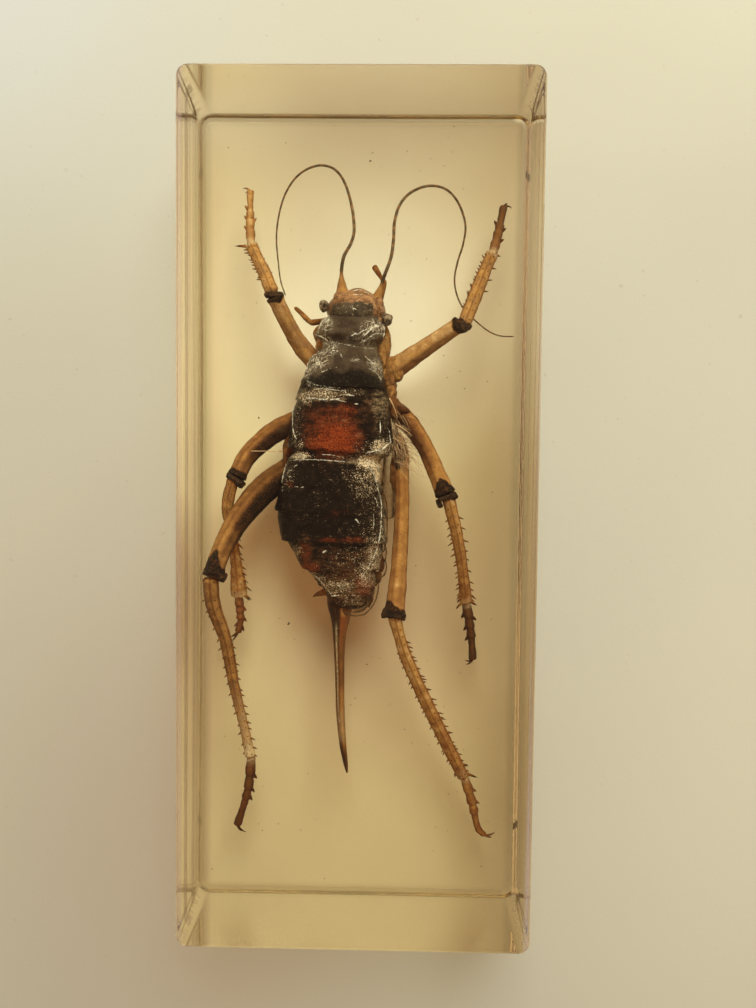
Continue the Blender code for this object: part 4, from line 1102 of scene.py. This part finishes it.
def makeTail(material):
    s = tail
    shape, tone, red, film = newShape("tone", "red", "film")
    run = eased(s["blade"], 170)

    def section(along, angle):
        # two valves meet in a groove above and below
        groove = math.exp(-((math.degrees(angle) - 90) / 13) ** 2) + math.exp(-((math.degrees(angle)
                - 270) / 13) ** 2)
        return 1 - 0.13 * groove

    for vert, along, angle, out in tube(shape, run, 56, section, tips=(0.4, 0.1), flat=s["tall"]):
        # heading is to -y, so angle 0 points to the left of the picture
        leftSide = ease(math.cos(angle), -0.25, 0.15)
        rightTone = 0.42 + 0.14 * ease(along, 4.5, 8.0) - 0.20 * ease(along, 12.5, 15.5)
        leftTone = 0.98 - 0.28 * ease(along, 5, 9) - 0.04 * ease(along, 12, 18)
        vert[tone] = rightTone + (leftTone - rightTone) * leftSide + 0.35 * ease(along, 20.0, 23.5)
        if math.cos(angle) > 0.72:
            vert[tone] -= 0.20 * ease(math.cos(angle), 0.72, 0.9) * (1 - ease(along, 18, 22))
        vert[tone] += 0.12 * noise.noise(vert.co * Vector((3.0, 0.5, 1.0)))
        vert[red] = 0.8 * (1 - leftSide) * (1 - ease(along, 5, 9)) + 0.1
        root = math.exp(-((math.cos(angle) - 0.42) / 0.22) ** 2) * ease(along, 4, 6) * (1 - ease(along, 14, 18))
        vert[film] = 0.9 * root + 0.55 * ease(along, 14, 18) * (1 - ease(along, 20, 22))
    for points in s["cerci"]:
        for vert, along, angle, out in tube(shape, eased(points, 24), 16, tips=(0.2, 0.1)):
            vert.co += out * noise.noise(vert.co * 2.0) * 0.08
            vert[tone] = 0.50 + 0.2 * ease(along, 1.5, 3.0)
            vert[red] = 0.3
    makePiece("egg_layer", shape, material)


def skinPaint():
    paint = Paint("loose_skin")
    cloud, edge = paint.grain(0.7, detail=3), paint.mark("edge")
    base = paint.blend(paint.step(cloud, 0.35, 0.65), (0.040, 0.017, 0.006), (0.17, 0.092, 0.036))
    return paint.finish(paint.surface(base, cloud * 0.3 + 0.3, cloud, 0.05, {
        "Alpha": edge * 1.7 + 0.02 + (cloud - 0.5) * 0.5}))


def makeSkins():
    shape, edge = newShape("edge")
    for path, width in tail["skins"]:
        run = [(*p, width) for p in eased(path, 60)]
        for vert, along, angle, out in tube(shape, run, 20, tips=(0.5, 0.5), flat=0.30):
            vert.co += out * noise.noise(vert.co * 1.5) * 0.08
            vert[edge] = abs(math.cos(angle)) ** 3
    makePiece("loose_skin", shape, skinPaint())


makeTail(insectShell)
makeSkins()


# bright threads of film, seen from above: points in mm, width, strength
threads = {
    "trunk": [
        ([(-8.5, 14.3), (-8.65, 12.9), (-8.65, 11.3)], .13, 1),
        ([(-8.6, 11.2), (-8.4, 10.5), (-8.0, 9.9)], .17, .8),
        ([(-8.9, 7.6), (-7.8, 7.85), (-6.9, 7.6)], .42, 1),
        ([(-9.0, 7.1), (-6.8, 7.2), (-4.4, 7.15), (-1.7, 7.0)], .13, 1),
        ([(-4.6, 7.9), (-3.5, 7.85), (-2.3, 7.6)], .15, .8),
        ([(-8.3, 6.2), (-7.8, 6.6)], .14, 1), ([(-9.2, 5.7), (-8.5, 5.8)], .12, .7),
        ([(-9.0, 5.0), (-8.6, 5.0)], .12, 1), ([(-9.9, 4.0), (-9.1, 4.0)], .14, .9),
        ([(-8.2, 3.7), (-7.7, 3.7)], .13, 1), ([(-7.3, 3.6), (-7.0, 3.7)], .12, .8),
        ([(-9.6, 6.6), (-9.9, 4.6), (-9.9, 3.1)], .13, .7),
        ([(-0.3, -0.3), (0.3, -1.0)], .22, 1),
        ([(1.0, 6.9), (1.9, 5.5), (2.6, 3.4), (3.0, 1.5), (3.0, -0.7), (2.8, -3.0), (2.2, -5.1), (1.3, -6.9),
          (0.5, -8.2)], .16, .9),
        ([(1.6, 6.4), (2.3, 4.6), (2.7, 2.6)], .14, .8),
        ([(2.1, 2.5), (2.4, 1.9), (2.5, 1.2)], .15, 1), ([(2.0, 0.3), (2.1, -0.7), (2.0, -1.7)], .12, .8),
        ([(-4.5, -4.8), (-4.0, -4.5)], .30, 1), ([(-2.6, -9.2), (-1.4, -9.0)], .22, .6),
        ([(-6.4, -7.4), (-5.0, -8.5), (-3.4, -10.5)], .16, .8), ([(-3.4, -10.7), (-2.4, -10.5)], .2, 1),
        ([(-1.8, 15.6), (-0.6, 15.4)], .13, 1), ([(-5.5, 16.35), (-3.6, 16.2), (-1.8, 16.0)], .13, .7),
        ([(-6.9, 15.0), (-5.6, 15.05), (-4.3, 14.9), (-2.4, 15.0)], .2, .8),
        ([(1.0, 8.1), (2.5, 8.5), (3.6, 8.7)], .18, 1), ([(2.7, 8.3), (3.5, 9.1), (4.2, 9.7)], .3, 1),
        ([(1.0, 7.2), (2.2, 6.5), (2.8, 5.5)], .3, .9), ([(2.7, 12.2), (2.8, 10.7)], .16, .9),
        ([(3.9, 11.1), (4.1, 9.2)], .16, .7), ([(-0.5, 14.4), (-0.1, 14.4)], .22, .9),
        ([(-3.8, 14.8), (-2.9, 14.9), (-1.6, 14.6)], .12, .9)],
    "shield": [
        ([(-5.3, 24.1), (-4.8, 25.1), (-4.0, 25.8)], .22, .9), ([(-4.5, 24.7), (-3.9, 25.2)], .25, .7),
        ([(-5.8, 23.4), (-5.0, 23.1), (-3.6, 22.2)], .13, .5), ([(-6.9, 20.1), (-5.9, 20.7), (-4.8, 21.0)], .14, 1),
        ([(-6.9, 20.1), (-6.8, 19.1), (-7.2, 18.2)], .16, .7), ([(-6.0, 19.4), (-5.0, 19.8)], .2, .5),
        ([(0.5, 23.0), (1.5, 24.0), (2.7, 25.0)], .2, 1), ([(1.2, 23.8), (2.5, 24.5)], .3, 1),
        ([(-0.6, 23.1), (0.8, 23.9), (2.0, 24.3)], .11, .7), ([(0.5, 22.4), (2.1, 23.6)], .14, .8),
        ([(1.6, 23.3), (2.7, 23.6)], .14, .7), ([(3.05, 24.9), (3.1, 23.6), (2.7, 22.0)], .13, .6),
        ([(-1.1, 23.0), (-0.4, 23.4)], .18, .8), ([(-3.7, 22.4), (-1.7, 22.0), (0.9, 21.6), (2.5, 22.0)], .08, .15),
        ([(-3.5, 21.2), (-2.7, 21.1)], .2, .9), ([(-2.5, 20.9), (-2.1, 20.2)], .1, .5),
        ([(0.7, 20.5), (1.6, 19.8), (2.8, 19.2)], .14, 1), ([(1.3, 19.8), (2.3, 19.3), (3.0, 18.1)], .14, .9),
        ([(1.1, 19.0), (2.1, 18.5), (2.8, 17.6)], .13, .7), ([(-5.2, 18.3), (-3.5, 18.9)], .12, .5),
        ([(-0.7, 19.9), (0.0, 20.1)], .2, .5), ([(-6.8, 17.4), (-5.2, 16.7), (-2.4, 16.4)], .13, .5)],
    "head": [
        ([(-1.2, 26.7), (-0.4, 26.4)], .13, .9), ([(-0.9, 26.9), (-0.8, 26.2)], .11, .8),
        ([(-1.0, 29.0), (0.0, 29.1), (1.1, 28.6)], .15, .8), ([(-0.9, 28.4), (0.2, 28.4)], .1, .6)],
}


def filmPaint():
    paint = Paint("film_threads")
    tone, shreds = paint.grain(0.4, detail=2), paint.mark("shred")
    base = paint.blend(paint.step(tone, 0.35, 0.6), (0.46, 0.37, 0.22), (0.82, 0.76, 0.60))
    whole = shreds + (tone - 0.5) * 1.5 + (paint.grain(0.17, detail=2, rough=0.7) - 0.5) * 2.6
    return paint.finish(paint.surface(base, tone * 0.3 + 0.25, tone, 0.03, {"Alpha": paint.step(whole, 0.28, 0.72)}))


def skinTree(*pieces):
    # where the finished pieces' surfaces are, in mm, for what lies on them
    joined = bmesh.new()
    for piece in pieces:
        joined.from_mesh(piece.data)
    bmesh.ops.scale(joined, vec=(1000, 1000, 1000), verts=joined.verts)
    tree = BVHTree.FromBMesh(joined)
    joined.free()
    return tree


def onSkin(tree, x, y, reach=11.0):
    spot, normal, face, gap = tree.ray_cast(Vector((x, y, 25)), Vector((0, 0, -1)))
    if spot is None or spot.z < 9.5:
        spot, normal, face, gap = tree.find_nearest(Vector((x, y, reach)))
    return spot, normal


def makeThreads(tree):
    rand = random.Random(7)
    shape, shred = newShape("shred")
    for group in threads.values():
        for points, width, strength in group:
            path = eased([(*p, 0.0) for p in points], max(8, int(6 * pathLength(points))))
            run = []
            for n, (x, y, spare) in enumerate(path):
                spot, normal = onSkin(tree, x + rand.uniform(-0.04, 0.04), y + rand.uniform(-0.04, 0.04))
                t = n / (len(path) - 1)
                radius = width * 0.5 * (0.25 + 0.75 * math.sin(math.pi * (0.12 + 0.76 * t))) * rand.uniform(0.75, 1.2)
                run.append((*(spot + normal * 0.02), radius))
            for vert, along, angle, out in tube(shape, run, 7, flat=0.6):
                vert[shred] = 0.25 + 0.5 * strength
    makePiece("film_threads", shape, filmPaint())


def fibrePaint():
    paint = Paint("pale_fibre")
    tone, fade = paint.grain(0.6, detail=2), paint.mark("fade")
    base = paint.blend(tone, (0.56, 0.33, 0.155), (0.88, 0.62, 0.35))
    return paint.finish(paint.surface(base, tone * 0.2 + 0.4, tone, 0.01, {"Alpha": fade}))


# fibres of the wisp: where their roots lie and how far those spread, mm
wisp = {"seed": 21, "count": 150, "middle": (5.3, 10.2), "spread": (0.85, 1.7), "height": (10.4, 11.6),
        "reach": (1.4, 4.2), "radius": (0.03, 0.06)}


def makeWisp():
    # a tuft of fibres over the root of the right middle leg
    s, rand = wisp, random.Random(wisp["seed"])
    shape, fade = newShape("fade")
    for n in range(s["count"]):
        root = Vector((*(rand.gauss(at, off) for at, off in zip(s["middle"], s["spread"])),
                       rand.uniform(*s["height"])))
        turn = rand.gauss(-0.9, 0.36)
        reach = rand.uniform(*s["reach"])
        tip = root + Vector((math.cos(turn), math.sin(turn), rand.uniform(-0.15, 0.25))) * reach
        bend = Vector((rand.gauss(0.3, 0.5), rand.gauss(0.3, 0.5), 0.5))
        strength = rand.uniform(0.10, 0.44) * (0.45 if root.y + 3 * turn > 9.6 else 1.0)
        for vert, along, angle, out in thorn(shape, root, tip, rand.uniform(*s["radius"]), bend, rings=7, sides=4):
            vert[fade] = strength * (1 - 0.5 * along / reach)
    # one straight fibre beside the trunk ends in a pale grain, and two lie along the hip
    for base, tip, radius, strength in (((-14.0, 8.25, 12.9), (-10.0, 8.2, 12.4), 0.06, 0.85),
                                        ((3.9, 15.3, 12.6), (5.0, 12.6, 12.0), 0.10, 0.9),
                                        ((4.7, 12.0, 12.0), (7.0, 10.4, 12.2), 0.08, 0.8)):
        for vert, along, angle, out in thorn(shape, base, tip, radius, (0.5, 0.15, 0), rings=10, sides=5):
            vert[fade] = strength
    for vert in ball(shape, (-10.2, 8.35, 12.2), (0.3, 0.2, 0.2), 10):
        vert[fade] = 0.8
    makePiece("fibre_wisp", shape, fibrePaint())


def dustPaint():
    paint = Paint("dust_in_resin")
    tone = paint.grain(0.3, detail=2)
    base = paint.blend(tone, (0.030, 0.018, 0.010), (0.16, 0.10, 0.05))
    return paint.finish(paint.surface(base, tone * 0.3 + 0.5, tone, 0.02, {}))


# specks in the resin, below and above the insect: four that show in the photo, and many fine ones; mm
dust = {"seed": 4, "count": 320, "across": 18.5, "along": 50, "below": (1, 5), "above": (15, 19),
        "size": (0.03, 0.085),
        "seen": [((1.1, 45.5, 12.0), 0.15), ((-8.9, -14.2, 13.5), 0.24), ((1.4, -19.4, 13.5), 0.13),
                 ((-13.1, 12.6, 12.0), 0.14)]}


def makeDust():
    s, rand = dust, random.Random(dust["seed"])
    shape = bmesh.new()
    specks = list(s["seen"])
    for n in range(s["count"]):
        x, y = rand.uniform(-s["across"], s["across"]), rand.uniform(-s["along"], s["along"])
        z = rand.choice((rand.uniform(*s["below"]), rand.uniform(*s["above"])))
        specks.append(((x, y, z), rand.uniform(*s["size"])))
    for centre, size in specks:
        turn = Matrix.Rotation(rand.uniform(0, 3), 3, "Z")
        ball(shape, centre, (size, size * rand.uniform(0.5, 0.9), size * 0.6), 8, turn)
    makePiece("dust", shape, dustPaint())


bodySkin = skinTree(trunkPiece, shieldPiece, headPiece)
makeThreads(bodySkin)
makeWisp()
makeDust()
